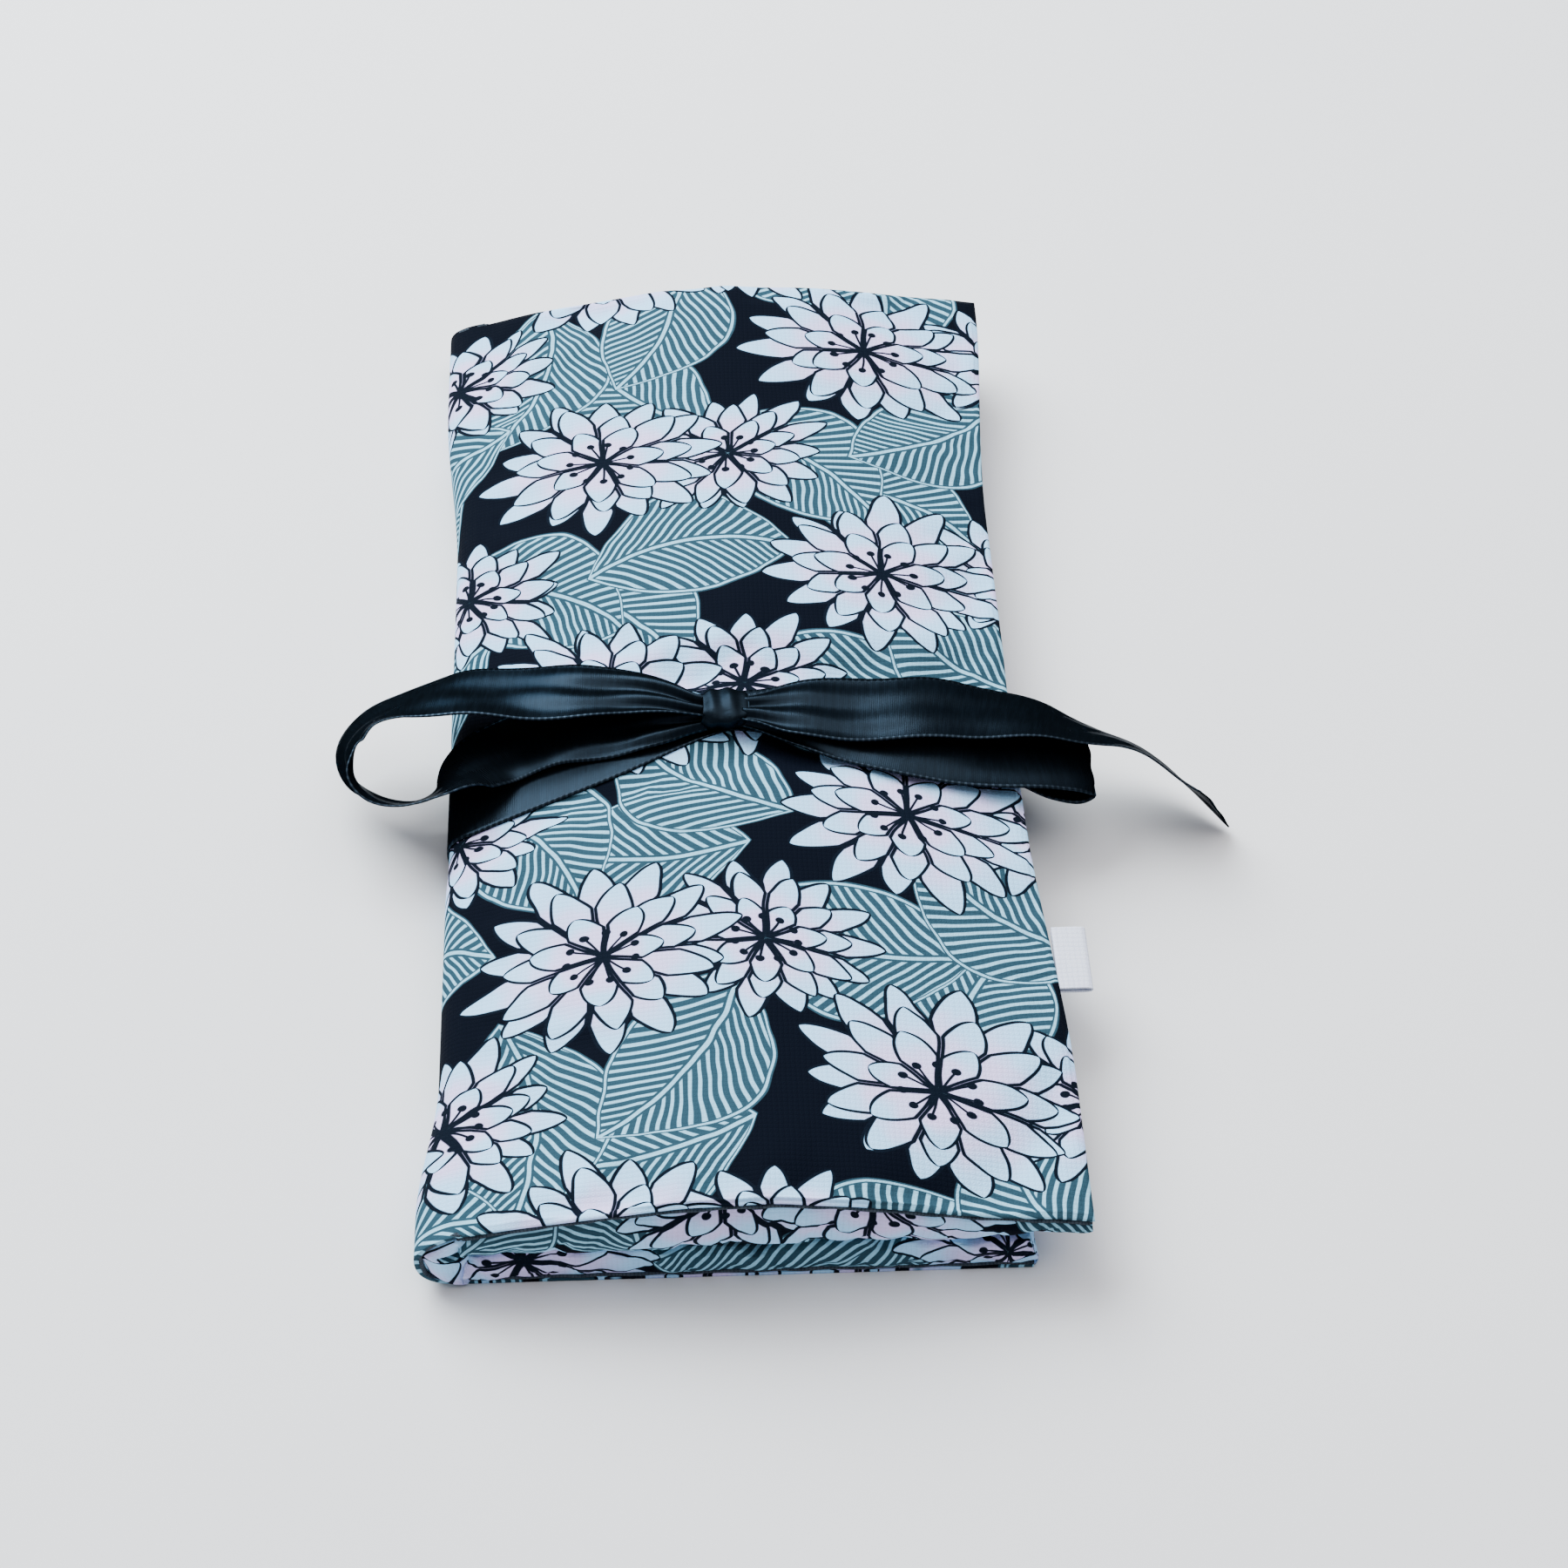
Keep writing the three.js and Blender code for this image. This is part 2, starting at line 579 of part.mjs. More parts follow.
function zip(prefix, x, z, flipped) {
  const stop = (x0, x1) => box(x0, x1, SLIDER_Y + 1.6, SLIDER_Y + 3.4, -0.95, 0.95);
  const parts = [
    ['tape_inner', box(-TAPE_INNER - TAPE_WIDTH, -TAPE_INNER, -TAPE_END, TAPE_END, -TAPE / 2, TAPE / 2), 'tape'],
    ['tape_outer', box(TAPE_INNER, TAPE_INNER + TAPE_WIDTH, -TAPE_END, TAPE_END, -TAPE / 2, TAPE / 2), 'tape'],
    ['teeth_inner', teethRow(-1), 'teeth'],
    ['teeth_outer', teethRow(1), 'teeth'],
    ['bottom_stop', box(-CHAIN_HALF, CHAIN_HALF, CHAIN_START - 2.2, CHAIN_START - 0.3, -0.95, 0.95), 'metal'],
    ['top_stop_inner', stop(-2.55, -1.25), 'metal'],
    ['top_stop_outer', stop(1.25, 2.55), 'metal'],
    ['slider', sliderBody().translate(0, SLIDER_Y, 0), 'metal'],
    ['pull', sliderPull().translate(0, SLIDER_Y, 0), 'metal'],
  ];
  return parts.map(([name, geometry, material]) => {
    if (flipped) {
      geometry.rotateY(Math.PI);
    }
    return piece(`${prefix}_${name}`, geometry.translate(x, 0, z), colours[material]);
  });
}

// A pocket's cloth between its sewn edge and its free edge. Stations give x, lower z and the reach past the pocket's end.
function clothPanel(stations, cloth) {
  const us = stations.map((station, k) => k);
  const face = (depth) => (k, v) => {
    const [x, z, past] = stations[k];
    return at3(x, v * (POCKET_END + past), z + depth);
  };
  return sheetSolid(face(cloth), face(0), us, [-1, 1]);
}

function backPockets() {
  const overTape = BACK_ZIP_Z + TAPE / 2 + GAP;
  const sewn = BACK_FLOOR_Z + GAP;
  const inner = [
    [7, sewn, PANEL_TUCK],
    [9.5, sewn + 1.2, 0.9],
    [12.4, overTape, 1.9],
    [BACK_ZIP_X - POCKET_EDGE, overTape, 1.9],
  ];
  const outer = [
    [BACK_ZIP_X + POCKET_EDGE, overTape, 1.9],
    [BACK_EDGE_X - SIDE_BORDER - 1, overTape, 1.9],
  ];
  const slip = [
    [-42.2, sewn, PANEL_TUCK],
    [-25, sewn + 0.3, PANEL_TUCK],
    [-8, sewn + 0.6, PANEL_TUCK],
  ];
  const edge = sewn + 0.6;
  const binding = drawnOut([
    [-11, edge - 0.5 - GAP / 2],
    [-7, edge - 0.5 - GAP / 2],
    [-7, edge + POCKET_CLOTH + 0.7],
    [-11, edge + POCKET_CLOTH + 0.7],
    [-11, edge + POCKET_CLOTH + GAP],
    [-7.6, edge + POCKET_CLOTH + GAP],
    [-7.6, edge - 0.3],
    [-11, edge - 0.3],
  ], -SLIP_END, SLIP_END);
  return [
    piece('back_pocket_front_inner', clothPanel(inner, LINING), colours.lining),
    piece('back_pocket_front_outer', clothPanel(outer, LINING), colours.lining),
    piece('back_slip_pocket', clothPanel(slip, POCKET_CLOTH), colours.lining),
    piece('back_slip_pocket_binding', binding, colours.satin),
  ];
}

function coverPockets() {
  const underTape = COVER_ZIP_Z - TAPE / 2 - GAP - LINING;
  const inner = [
    [COVER_ZIP_X + POCKET_EDGE, underTape, 1.7],
    [-7.1, underTape, 1.7],
    [-5, underTape + 2.0, 0.7],
    [-3, underTape + 4.0, PANEL_TUCK],
  ];
  const outer = [
    [-40.2, underTape, 0.3],
    [-33, underTape, 1.7],
    [COVER_ZIP_X - POCKET_EDGE, underTape, 1.7],
  ];
  const slipX = [10, 12, 22, 32, 41, 47];
  const slipV = [-SLIP_END, ...COVER_BANDS, SLIP_END];
  const droop = 0.8;
  const open = (x) => droop * clamp((41 - x) / 31, 0, 1);
  const high = (x, v) => coverPoint(x, v, (px, py) => coverUnderside(px, py) - GAP - open(px));
  const low = (x, v) => high(x, v).sub(at3(0, 0, POCKET_CLOTH));
  const slip = sheetSolid(high, low, slipX, slipV);
  const edge = coverUnderside(10, 30) - GAP - POCKET_CLOTH - droop;
  const binding = drawnOut([
    [9, edge - 0.7],
    [13, edge - 0.7],
    [13, edge - 0.25],
    [9.7, edge - 0.25],
    [9.7, edge + POCKET_CLOTH + 0.12],
    [11.5, edge + POCKET_CLOTH + 0.12],
    [11.5, edge + POCKET_CLOTH + 0.5],
    [9, edge + POCKET_CLOTH + 0.5],
  ], -SLIP_END, SLIP_END);
  return [
    piece('cover_pocket_front_inner', clothPanel(inner, LINING), colours.lining),
    piece('cover_pocket_front_outer', clothPanel(outer, LINING), colours.lining),
    piece('cover_slip_pocket', slip, colours.lining),
    piece('cover_slip_pocket_binding', binding, colours.satin),
  ];
}

// The stuffed bar for rings: sewn down at its far end, pressed shut at its near end
function ringBarPieces() {
  const ring = (y, a, b, z) => {
    const points = [];
    for (let k = 0; k < 12; k += 1) {
      const angle = (k * Math.PI) / 6;
      points.push(at3(a * Math.cos(angle), y, z + b * Math.sin(angle)));
    }
    return points;
  };
  const tabZ = BACK_FLOOR_Z + GAP + TAB_HALF_THICK;
  const bar = loftSolid([
    ring(SNAP_Y - 5, TAB_HALF_WIDTH - 1.5, TAB_HALF_THICK, SNAP_TAB_Z),
    ring(SNAP_Y - 3.5, TAB_HALF_WIDTH, TAB_HALF_THICK, SNAP_TAB_Z),
    ring(SNAP_Y + 4.5, TAB_HALF_WIDTH, TAB_HALF_THICK, SNAP_TAB_Z),
    ring(SNAP_Y + 6.5, 4.2, 2.2, BAR_Z),
    ring(SNAP_Y + 9, BAR_RADIUS, BAR_RADIUS, BAR_Z),
    ring(ANCHOR_Y - 16, BAR_RADIUS, BAR_RADIUS, BAR_Z),
    ring(ANCHOR_Y - 13.5, 4.2, 2.2, BAR_Z - 1.1),
    ring(ANCHOR_Y - 11, TAB_HALF_WIDTH, TAB_HALF_THICK, tabZ),
    ring(ANCHOR_Y, TAB_HALF_WIDTH, TAB_HALF_THICK, tabZ),
  ]);
  const shankHole = new THREE.CylinderGeometry(1.6, 1.6, 6, 16).rotateX(Math.PI / 2).translate(0, SNAP_Y, SNAP_TAB_Z);
  const drilled = cut(bar, [shankHole]);
  const patchLow = tabZ + TAB_HALF_THICK + GAP;
  const patch = sheetSolid(
    (x, y) => at3(x, y, (Math.abs(x) > 6 ? BACK_FLOOR_Z + GAP : patchLow) + LINING),
    (x, y) => at3(x, y, Math.abs(x) > 6 ? BACK_FLOOR_Z + GAP : patchLow),
    [-6.7, -5.5, 5.5, 6.7],
    [ANCHOR_Y - 10, ANCHOR_Y + 2],
  );
  const socket = turned([
    [0, 9.9],
    [SNAP_RADIUS, 9.9],
    [SNAP_RADIUS, 9.3],
    [1.3, 9.3],
    [1.3, 7.3],
    [4.2, 7.3],
    [4.2, 5.8],
    [2.1, 5.8],
    [2.1, 6.9],
    [0, 6.9],
  ], 20);
  const stud = turned([
    [0, 4.9],
    [SNAP_RADIUS, 4.9],
    [SNAP_RADIUS, 5.5],
    [1.7, 5.5],
    [1.7, 6.6],
    [0, 6.6],
  ], 20);
  return [
    piece('ring_bar', drilled, colours.lining),
    piece('ring_bar_anchor', patch, colours.lining),
    piece('snap_socket', socket.translate(0, SNAP_Y, 0), colours.metal),
    piece('snap_stud', stud.translate(0, SNAP_Y, 0), colours.metal),
  ];
}

function labelPiece() {
  const x0 = COVER_EDGE_X + GAP;
  const x1 = x0 + LABEL_REACH;
  const z1 = crown(COVER_EDGE_X) - 0.35;
  const z0 = z1 - 1.6;
  const outline = [
    [x0, z0],
    [x1 - 0.3, z0],
    [x1, z0 + 0.3],
    [x1, z1 - 0.3],
    [x1 - 0.3, z1],
    [x0, z1],
    [x0, z1 - 0.6],
    [x1 - 0.7, z1 - 0.6],
    [x1 - 0.7, z0 + 0.6],
    [x0, z0 + 0.6],
  ];
  const tape = drawnOut(outline, LABEL_Y - LABEL_WIDTH / 2, LABEL_Y + LABEL_WIDTH / 2);
  const place = tape.getAttribute('position');
  for (let i = 0; i < place.count; i += 1) {
    place.setX(i, place.getX(i) - waist(place.getY(i)));
  }
  return piece('label', tape, colours.label);
}

// The ribbon round the bundle: a band whose centre line lies in X and Z
function bandSolid(line, middleAt, halfAt) {
  const points = line.map(([x, z]) => new THREE.Vector2(x, z));
  const normals = points.map((point, i) => {
    const before = points[Math.max(i - 1, 0)];
    const after = points[Math.min(i + 1, points.length - 1)];
    const along = after.clone().sub(before).normalize();
    const bend = i > 0 && i < points.length - 1;
    const leg = point.clone().sub(before).normalize();
    const stretch = bend ? 1 / Math.max(Math.abs(along.dot(leg)), 0.7) : 1;
    return new THREE.Vector2(-along.y, along.x).multiplyScalar((stretch * RIBBON) / 2);
  });
  normals[0] = new THREE.Vector2(0, points[1].x > points[0].x ? RIBBON / 2 : -RIBBON / 2);
  const face = (side) => (i, v) => {
    const point = points[i].clone().add(normals[i].clone().multiplyScalar(side));
    return at3(point.x, middleAt(points[i].x) + v * halfAt(points[i].x), point.y);
  };
  return sheetSolid(face(1), face(-1), points.map((point, i) => i), [-1, 0, 1]);
}

function ribbonBands() {
  const half = RIBBON_WIDTH / 2;
  const off = RIBBON_OFF + RIBBON / 2;
  const edgeTop = crown(COVER_EDGE_X) - PINCH;
  const steps = [PANEL_START_X, PANEL_START_X + COVER_WALL + LINING, ...CROWN_STEPS, COVER_EDGE_X];
  const edgeX = coverX(COVER_EDGE_X, KNOT_Y);
  const over = steps.map((x) => [coverX(x, KNOT_Y), crown(x) - PINCH + off]);
  over.push([edgeX + off * 0.7, edgeTop + off * 0.7], [edgeX + off, edgeTop]);
  over.push([edgeX + off, edgeTop - 0.85]);
  const gathered = (x) => half - 3 * Math.exp(-(((x - KNOT_X) / 14) ** 2));
  const wrap = bandSolid(over, bandY, gathered);

  const lowZ = 0.05 + RIBBON / 2;
  const under = [
    [PANEL_START_X, lowZ],
    [45.6, lowZ],
    [46.4, 0.55],
    [46.8, 1.3],
    [47.2, 2.1],
    [edgeX + off - 0.25, 9.8],
    [edgeX + off, 10.4],
    [edgeX + off, edgeTop - 1.25],
  ];
  const lower = bandSolid(under, underY, () => half);

  const turnFace = (depth) => (t, v) => {
    const y = mix(TURN_Y[0], TURN_Y[1], t);
    const point = spineAt(t, y).add(spineInward(t, y).multiplyScalar(-depth));
    return at3(point.x, y + v * half, point.y);
  };
  const turn = sheetSolid(turnFace(RIBBON_OFF + RIBBON), turnFace(RIBBON_OFF), SPINE_STEPS, [-1, 0, 1]);
  return [
    piece('ribbon_wrap', wrap, colours.satin),
    piece('ribbon_under', lower, colours.satin),
    piece('ribbon_fold_turn', turn, colours.satin),
  ];
}

// A free strand of ribbon. Stations give the centre, the direction across the strand, and its width.
function strand(stations, steps) {
  const curve = new THREE.CatmullRomCurve3(stations.map(([centre]) => at3(...centre)), false, 'centripetal');
  const across = new THREE.CatmullRomCurve3(stations.map(([, side]) => at3(...side)), false, 'centripetal');
  const widths = stations.map(([, , width]) => width);
  const last = stations.length - 1;
  const widthAt = (t) => {
    const k = Math.min(Math.floor(t * last), last - 1);
    return mix(widths[k], widths[k + 1], smooth(t * last - k));
  };
  const sideAt = (t) => {
    const k = Math.min(Math.floor(t * last), last - 1);
    const from = at3(...stations[k][1]);
    const to = at3(...stations[k + 1][1]);
    return from.lerp(to, smooth(t * last - k));
  };
  const face = (sign) => (t, v) => {
    const tangent = curve.getTangent(t);
    const side = sideAt(t);
    side.addScaledVector(tangent, -side.dot(tangent)).normalize();
    const normal = tangent.clone().cross(side);
    const point = curve.getPoint(t);
    point.addScaledVector(side, (v * widthAt(t)) / 2);
    return point.addScaledVector(normal, (sign * RIBBON) / 2);
  };
  const us = [];
  for (let i = 0; i <= steps; i += 1) {
    us.push(i / steps);
  }
  return sheetSolid(face(1), face(-1), us, [-1, 0, 1]);
}

function bowPieces() {
  const knotRing = (x, a, b, z) => {
    const points = [];
    for (let k = 0; k < 14; k += 1) {
      const angle = (k * 2 * Math.PI) / 14;
      const c = Math.cos(angle);
      const s = Math.sin(angle);
      const squared = (value) => Math.sign(value) * Math.abs(value) ** 0.8;
      points.push(at3(KNOT_X + x, KNOT_Y - KNOT_NEARER + a * squared(c), z + b * squared(s)));
    }
    return points;
  };
  const knotZ = PEAK_Z - 0.1 + KNOT_HEIGHT / 2;
  const kx = KNOT_LENGTH / 2;
  const kz = KNOT_HEIGHT / 2;
  const knot = loftSolid([
    knotRing(-kx, 3, kz * 0.62, knotZ),
    knotRing(-kx * 0.8, 4.1, kz * 0.88, knotZ),
    knotRing(-kx * 0.3, 4.6, kz, knotZ),
    knotRing(kx * 0.3, 4.6, kz, knotZ),
    knotRing(kx * 0.8, 4.1, kz * 0.88, knotZ),
    knotRing(kx, 3, kz * 0.62, knotZ),
  ]);

  const left = strand([
    [[-6.9, -6.3, 24.0], [0, -1, 0], 6],
    [[-12.0, -4.6, 24.1], [0, -1, 0], 8],
    [[-19.0, -3.2, 24.0], [0, -1, 0.03], 11],
    [[-28.5, -2.7, 23.6], [0, -1, 0.1], 14],
    [[-40.4, -1.7, 22.8], [0, -0.97, 0.22], RIBBON_WIDTH],
    [[-49.2, -1.0, 21.6], [0, -0.94, 0.34], RIBBON_WIDTH],
    [[-57.8, -0.9, 19.6], [0.03, -0.84, 0.54], RIBBON_WIDTH],
    [[-64.4, -3.3, 17.4], [0.2, -0.72, 0.65], RIBBON_WIDTH],
    [[-67.9, -8.1, 15.2], [0.32, -0.62, 0.7], RIBBON_WIDTH],
    [[-67.0, -13.6, 13.6], [0.26, -0.62, 0.72], RIBBON_WIDTH],
    [[-63.0, -17.2, 12.9], [0.12, -0.63, 0.76], RIBBON_WIDTH],
    [[-57.0, -18.3, 13.0], [0, -0.64, 0.77], RIBBON_WIDTH],
    [[-51.0, -17.0, 14.2], [0, -0.76, 0.65], RIBBON_WIDTH],
    [[-46.2, -13.2, 15.0], [0.1, -0.96, 0.25], RIBBON_WIDTH],
    [[-40.7, -9.4, 15.6], [0.2, -0.98, 0.04], RIBBON_WIDTH],
    [[-30.2, -6.6, 17.4], [0.2, -0.98, 0], RIBBON_WIDTH],
    [[-19.8, -6.9, 19.4], [0.1, -1, 0], 13.5],
    [[-12.0, -7.3, 20.8], [0, -1, 0], 10],
    [[-6.9, -7.4, 21.5], [0, -1, 0], 6.5],
  ], 54);

  const right = strand([
    [[4.6, -8.1, 22.8], [0, -1, 0], 6.5],
    [[10.5, -9.1, 22.3], [0, -1, 0], 9.5],
    [[19.8, -11.0, 21.6], [-0.1, -1, 0], 13],
    [[33.1, -14.0, 20.6], [-0.15, -1, 0], RIBBON_WIDTH],
    [[47.0, -15.6, 19.0], [-0.05, -1, 0.06], RIBBON_WIDTH],
    [[57.4, -15.3, 17.3], [-0.05, -0.98, 0.2], RIBBON_WIDTH],
    [[63.6, -14.2, 15.6], [-0.12, -0.93, 0.36], RIBBON_WIDTH],
    [[65.4, -14.4, 14.3], [-0.15, -0.93, 0.37], RIBBON_WIDTH],
    [[63.2, -14.9, 13.1], [-0.12, -0.93, 0.36], RIBBON_WIDTH],
    [[57.2, -14.4, 13.9], [-0.05, -0.98, 0.2], RIBBON_WIDTH],
    [[48.6, -12.4, 16.6], [0, -1, 0.03], RIBBON_WIDTH],
    [[34.6, -10.6, 18.7], [-0.1, -1, 0], RIBBON_WIDTH],
    [[19.0, -8.9, 20.3], [-0.1, -1, 0], 13],
    [[10.5, -7.6, 21.0], [0, -1, 0], 9.5],
    [[4.5, -6.9, 21.3], [0, -1, 0], 6.5],
  ], 42);

  const tail = strand([
    [[4.2, -7.6, 24.4], [0, -1, 0], 7.5],
    [[10.5, -7.9, 24.3], [0, -1, 0], 12],
    [[17.5, -8.0, 24.0], [0, -1, 0], 14],
    [[27.7, -7.8, 23.6], [0, -1, 0], 14.5],
    [[39.7, -7.4, 22.6], [0, -0.99, 0.12], RIBBON_WIDTH],
    [[50.3, -7.5, 20.9], [0, -0.96, 0.28], RIBBON_WIDTH],
    [[59.3, -8.2, 18.7], [0, -0.88, 0.47], RIBBON_WIDTH],
    [[68.4, -9.0, 15.8], [0, -0.78, 0.62], RIBBON_WIDTH],
    [[76.9, -12.2, 12.6], [0.02, -0.75, 0.66], RIBBON_WIDTH],
    [[83.8, -16.5, 9.8], [0.05, -0.75, 0.66], RIBBON_WIDTH],
    [[89.5, -22.6, 7.6], [0.06, -0.73, 0.68], RIBBON_WIDTH],
  ], 24);
  return [
    piece('ribbon_knot', knot, colours.satin),
    piece('ribbon_loop_left', left, colours.satin),
    piece('ribbon_loop_right', right, colours.satin),
    piece('ribbon_tail', tail, colours.satin),
  ];
}

const pouch = new THREE.Group();
pouch.add(
  ...backPanel(),
  ...backPockets(),
  ...zip('back_zip', BACK_ZIP_X, BACK_ZIP_Z, false),
  ...ringBarPieces(),
  ...spinePieces(),
  ...coverPanel(),
  ...coverPockets(),
  ...zip('cover_zip', COVER_ZIP_X, COVER_ZIP_Z, true),
  labelPiece(),
  ...ribbonBands(),
  ...bowPieces(),
);

export default pouch;
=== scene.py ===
# %% [markdown]
# # A travel jewelry pouch, tied with a ribbon
# Two padded panels of printed cotton fold like a book and are tied shut with a satin ribbon.
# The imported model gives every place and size. This script dresses it: soft surfaces worked out with
# numpy, a printed and woven cloth, a satin ribbon, and the light and camera of a product picture.

import math

import bpy
import numpy as np
from mathutils import Matrix, Vector


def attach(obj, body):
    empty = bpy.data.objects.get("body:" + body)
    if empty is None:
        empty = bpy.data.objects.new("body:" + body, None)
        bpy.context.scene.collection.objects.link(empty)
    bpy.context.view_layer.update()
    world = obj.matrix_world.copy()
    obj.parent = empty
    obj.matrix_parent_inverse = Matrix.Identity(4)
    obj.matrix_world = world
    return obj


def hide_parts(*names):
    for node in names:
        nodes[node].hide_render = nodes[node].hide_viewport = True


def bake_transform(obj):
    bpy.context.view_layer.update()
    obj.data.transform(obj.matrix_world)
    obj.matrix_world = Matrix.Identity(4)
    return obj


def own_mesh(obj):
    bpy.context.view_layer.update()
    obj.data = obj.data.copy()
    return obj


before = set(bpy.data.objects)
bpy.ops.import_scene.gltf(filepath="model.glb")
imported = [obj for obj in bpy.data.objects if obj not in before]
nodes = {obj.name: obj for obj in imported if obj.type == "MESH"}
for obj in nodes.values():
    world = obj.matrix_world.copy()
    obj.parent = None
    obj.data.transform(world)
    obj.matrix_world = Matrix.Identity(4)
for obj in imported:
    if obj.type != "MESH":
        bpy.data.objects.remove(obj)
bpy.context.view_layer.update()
print("nodes in the frame:", len(nodes))

# %% [markdown]
# ## Sizes
# A maker cuts the cloth from a few sizes, so they come first. They are in millimetres and are the
# same ones that the solid model is built from: the panel edges, the height of the crown, the padding,
# and the line on which the ribbon runs.

# %% Sizes of the folded pouch, in millimetres
MM = 0.001
HALF = 107.5
FOLD_X, START_X = -53.5, -46.0
EDGE_X, BACK_X = 54.5, 46.0
FABRIC, SEAM_GAP = 0.8, 0.3
PEAK_X, PEAK_Z = 1.0, 20.8
FOLD_FALL, EDGE_FALL = 7.7, 5.8
NEAR_RISE, FAR_RISE = 1.9, 2.4
WAIST = 3.0
COVER_PAD, FOLD_PAD, EDGE_PAD = 4.9, 4.2, 2.3
COVER_BORDER_Z = 8.9
BACK_FLOOR_Z, BACK_BORDER_Z = 4.6, 8.6
COVER_WALL, BACK_WALL, FOLD_WALL = 4.2, 2.4, 3.0
POCKET_END, BORDER_SLOPE = 91.5, 4.0
KNOT_X, KNOT_Y = -1.0, -4.5
KNOT_HEIGHT, KNOT_NEARER = 4.8, 2.3
RIBBON_WIDTH, RIBBON = 15.0, 0.3
PINCH, SPINE_PINCH, GROOVE = 1.3, 0.4, 0.9
UNDER_Y, UNDER_SLANT, BAND_SLANT = -12.5, 0.143, 0.3
FLAT_BED, PINCH_REACH = 7.8, 20.0


def smooth(t):
    """0 below 0, 1 above 1, and the S curve 3t2 - 2t3 between them."""
    s = np.clip(t, 0.0, 1.0)
    return s * s * (3 - 2 * s)


def mix(a, b, t):
    return a + (b - a) * t


def band_y(x):
    """The line of the ribbon over the top: level right of the knot, falling three in ten left of it."""
    return KNOT_Y + BAND_SLANT * np.minimum(x, 0)


def under_y(x):
    """The line of the ribbon underneath: straight, rising slightly towards the free edge."""
    return UNDER_Y + UNDER_SLANT * x


def squeeze(y, middle):
    """How far the ribbon presses the padding: 1 under the ribbon, easing to 0 at PINCH_REACH from it."""
    return smooth((PINCH_REACH - np.abs(y - middle)) / (PINCH_REACH - FLAT_BED - 0.2))


def crown(x):
    """The cover's height across: highest near the middle, falling to both sides by a power curve."""
    fold_side = FOLD_FALL * np.clip((PEAK_X - x) / (PEAK_X - START_X), 0, 2) ** 1.64
    free_side = EDGE_FALL * np.clip((x - PEAK_X) / (EDGE_X - PEAK_X), 0, 2) ** 1.4
    return PEAK_Z - fold_side - free_side


def waist(y):
    """How far the tied ribbon draws each side in, most near the middle of the length."""
    return WAIST * smooth((95 - np.abs(y - 12)) / 60)


def fold_waist(y):
    """The same for the fold, which flares out again close to the near end."""
    return WAIST * smooth(np.where(y < 12, (100 + y) / 25, (87 - y) / 45))


def end_rise(x, y):
    """The rise of the stuffed ends above the crown: near end over the fold half, far end all along."""
    near = NEAR_RISE - 2.4 * smooth((x - 5) / 35)
    far = FAR_RISE * smooth((x + 45) / 65) - 0.4
    return np.where(y < 0, near, far) * smooth((np.abs(y) - 72) / 33)


def cover_x(x, y):
    """A place across the cover with the free side drawn in by the waist."""
    return x - waist(y) * smooth((x - 20) / (EDGE_X - 20))


def cover_top(x, y):
    """The cover's upper surface: the crown and the rise of its ends, less the ribbon's squeeze."""
    return crown(x) + end_rise(x, y) - PINCH * squeeze(y, band_y(x))


def end_border(y):
    """0 over the pockets, 1 over the padded borders at the two ends."""
    return smooth((np.abs(y) - POCKET_END) / BORDER_SLOPE)


def cover_under(x, y):
    """The cover's padded underside: the crown less the padding, level at the two end borders."""
    right = np.clip((x - PEAK_X) / (EDGE_X - PEAK_X), 0, 1) ** 1.5
    pad = mix(COVER_PAD, EDGE_PAD, right) - (COVER_PAD - FOLD_PAD) * smooth((-26 - x) / 15)
    inside = crown(x) - pad - PINCH * squeeze(y, band_y(x)) * smooth((x - 30) / 15)
    rise = (crown(EDGE_X) - EDGE_PAD - COVER_BORDER_Z) * np.clip((x - 20) / (EDGE_X - 20), 0, 1) ** 3
    return mix(inside, COVER_BORDER_Z + rise, end_border(y))


print("crown at the fold, peak and edge:", [round(float(crown(v)), 1) for v in (START_X, PEAK_X, EDGE_X)])

# %% [markdown]
# ## Building surfaces
# Every piece is a grid of points that a formula places, as one array for the whole piece.
# A single layer of cloth gets its thickness from a Solidify modifier. A padded form is two grids
# that are joined at their rims, so it is closed. Each grid keeps a flat pattern of its cloth as a
# UV map in decimetres, so the print and the weave follow the cloth round folds.

# %% Small helpers for points
def grid(a, b):
    """Every pairing of two lists: one array with a down its rows, one with b along its columns."""
    return np.meshgrid(a, b, indexing="ij")


def xyz(x, y, z):
    """Points from three arrays or numbers, spread to one shape."""
    return np.stack(np.broadcast_arrays(x, y, z), axis=-1)


def unit(vectors):
    return vectors / np.linalg.norm(vectors, axis=-1, keepdims=True)


def walked(path):
    """The length walked along a path of points, 0 at the first."""
    return np.concatenate([[0.0], np.cumsum(np.linalg.norm(np.diff(path, axis=0), axis=1))])


def around(count):
    """So many angles, evenly round a circle."""
    return np.linspace(0, math.tau, count + 1)[:-1]


def quarter(count):
    """Places from 0 to 1 that crowd towards 0: a quarter round seen from above."""
    return 1 - np.cos(np.linspace(0, math.pi / 2, count))


WALL = 1 - np.sqrt(np.cos(math.pi / 2 * np.linspace(0, 1, 13) ** 2).clip(0))


def spread(low, high, count, bend):
    """Places from low to high. bend lists the distances from each end where a seam or wall rounds over."""
    inner = np.linspace(low + bend[-1], high - bend[-1], count)
    return np.concatenate([low + bend[:-1], inner, (high - bend[:-1])[::-1]])


# %% Grids, sheets and padded forms
def grid_faces(nu, nv, start=0, ring=False):
    """Quads over an nu by nv grid of points, the second side joined round where ring is true."""
    i, j = grid(np.arange(nu - 1), np.arange(nv if ring else nv - 1))
    k = (j + 1) % nv
    quads = np.stack([i * nv + j, (i + 1) * nv + j, (i + 1) * nv + k, i * nv + k], axis=-1)
    return quads.reshape(-1, 4) + start


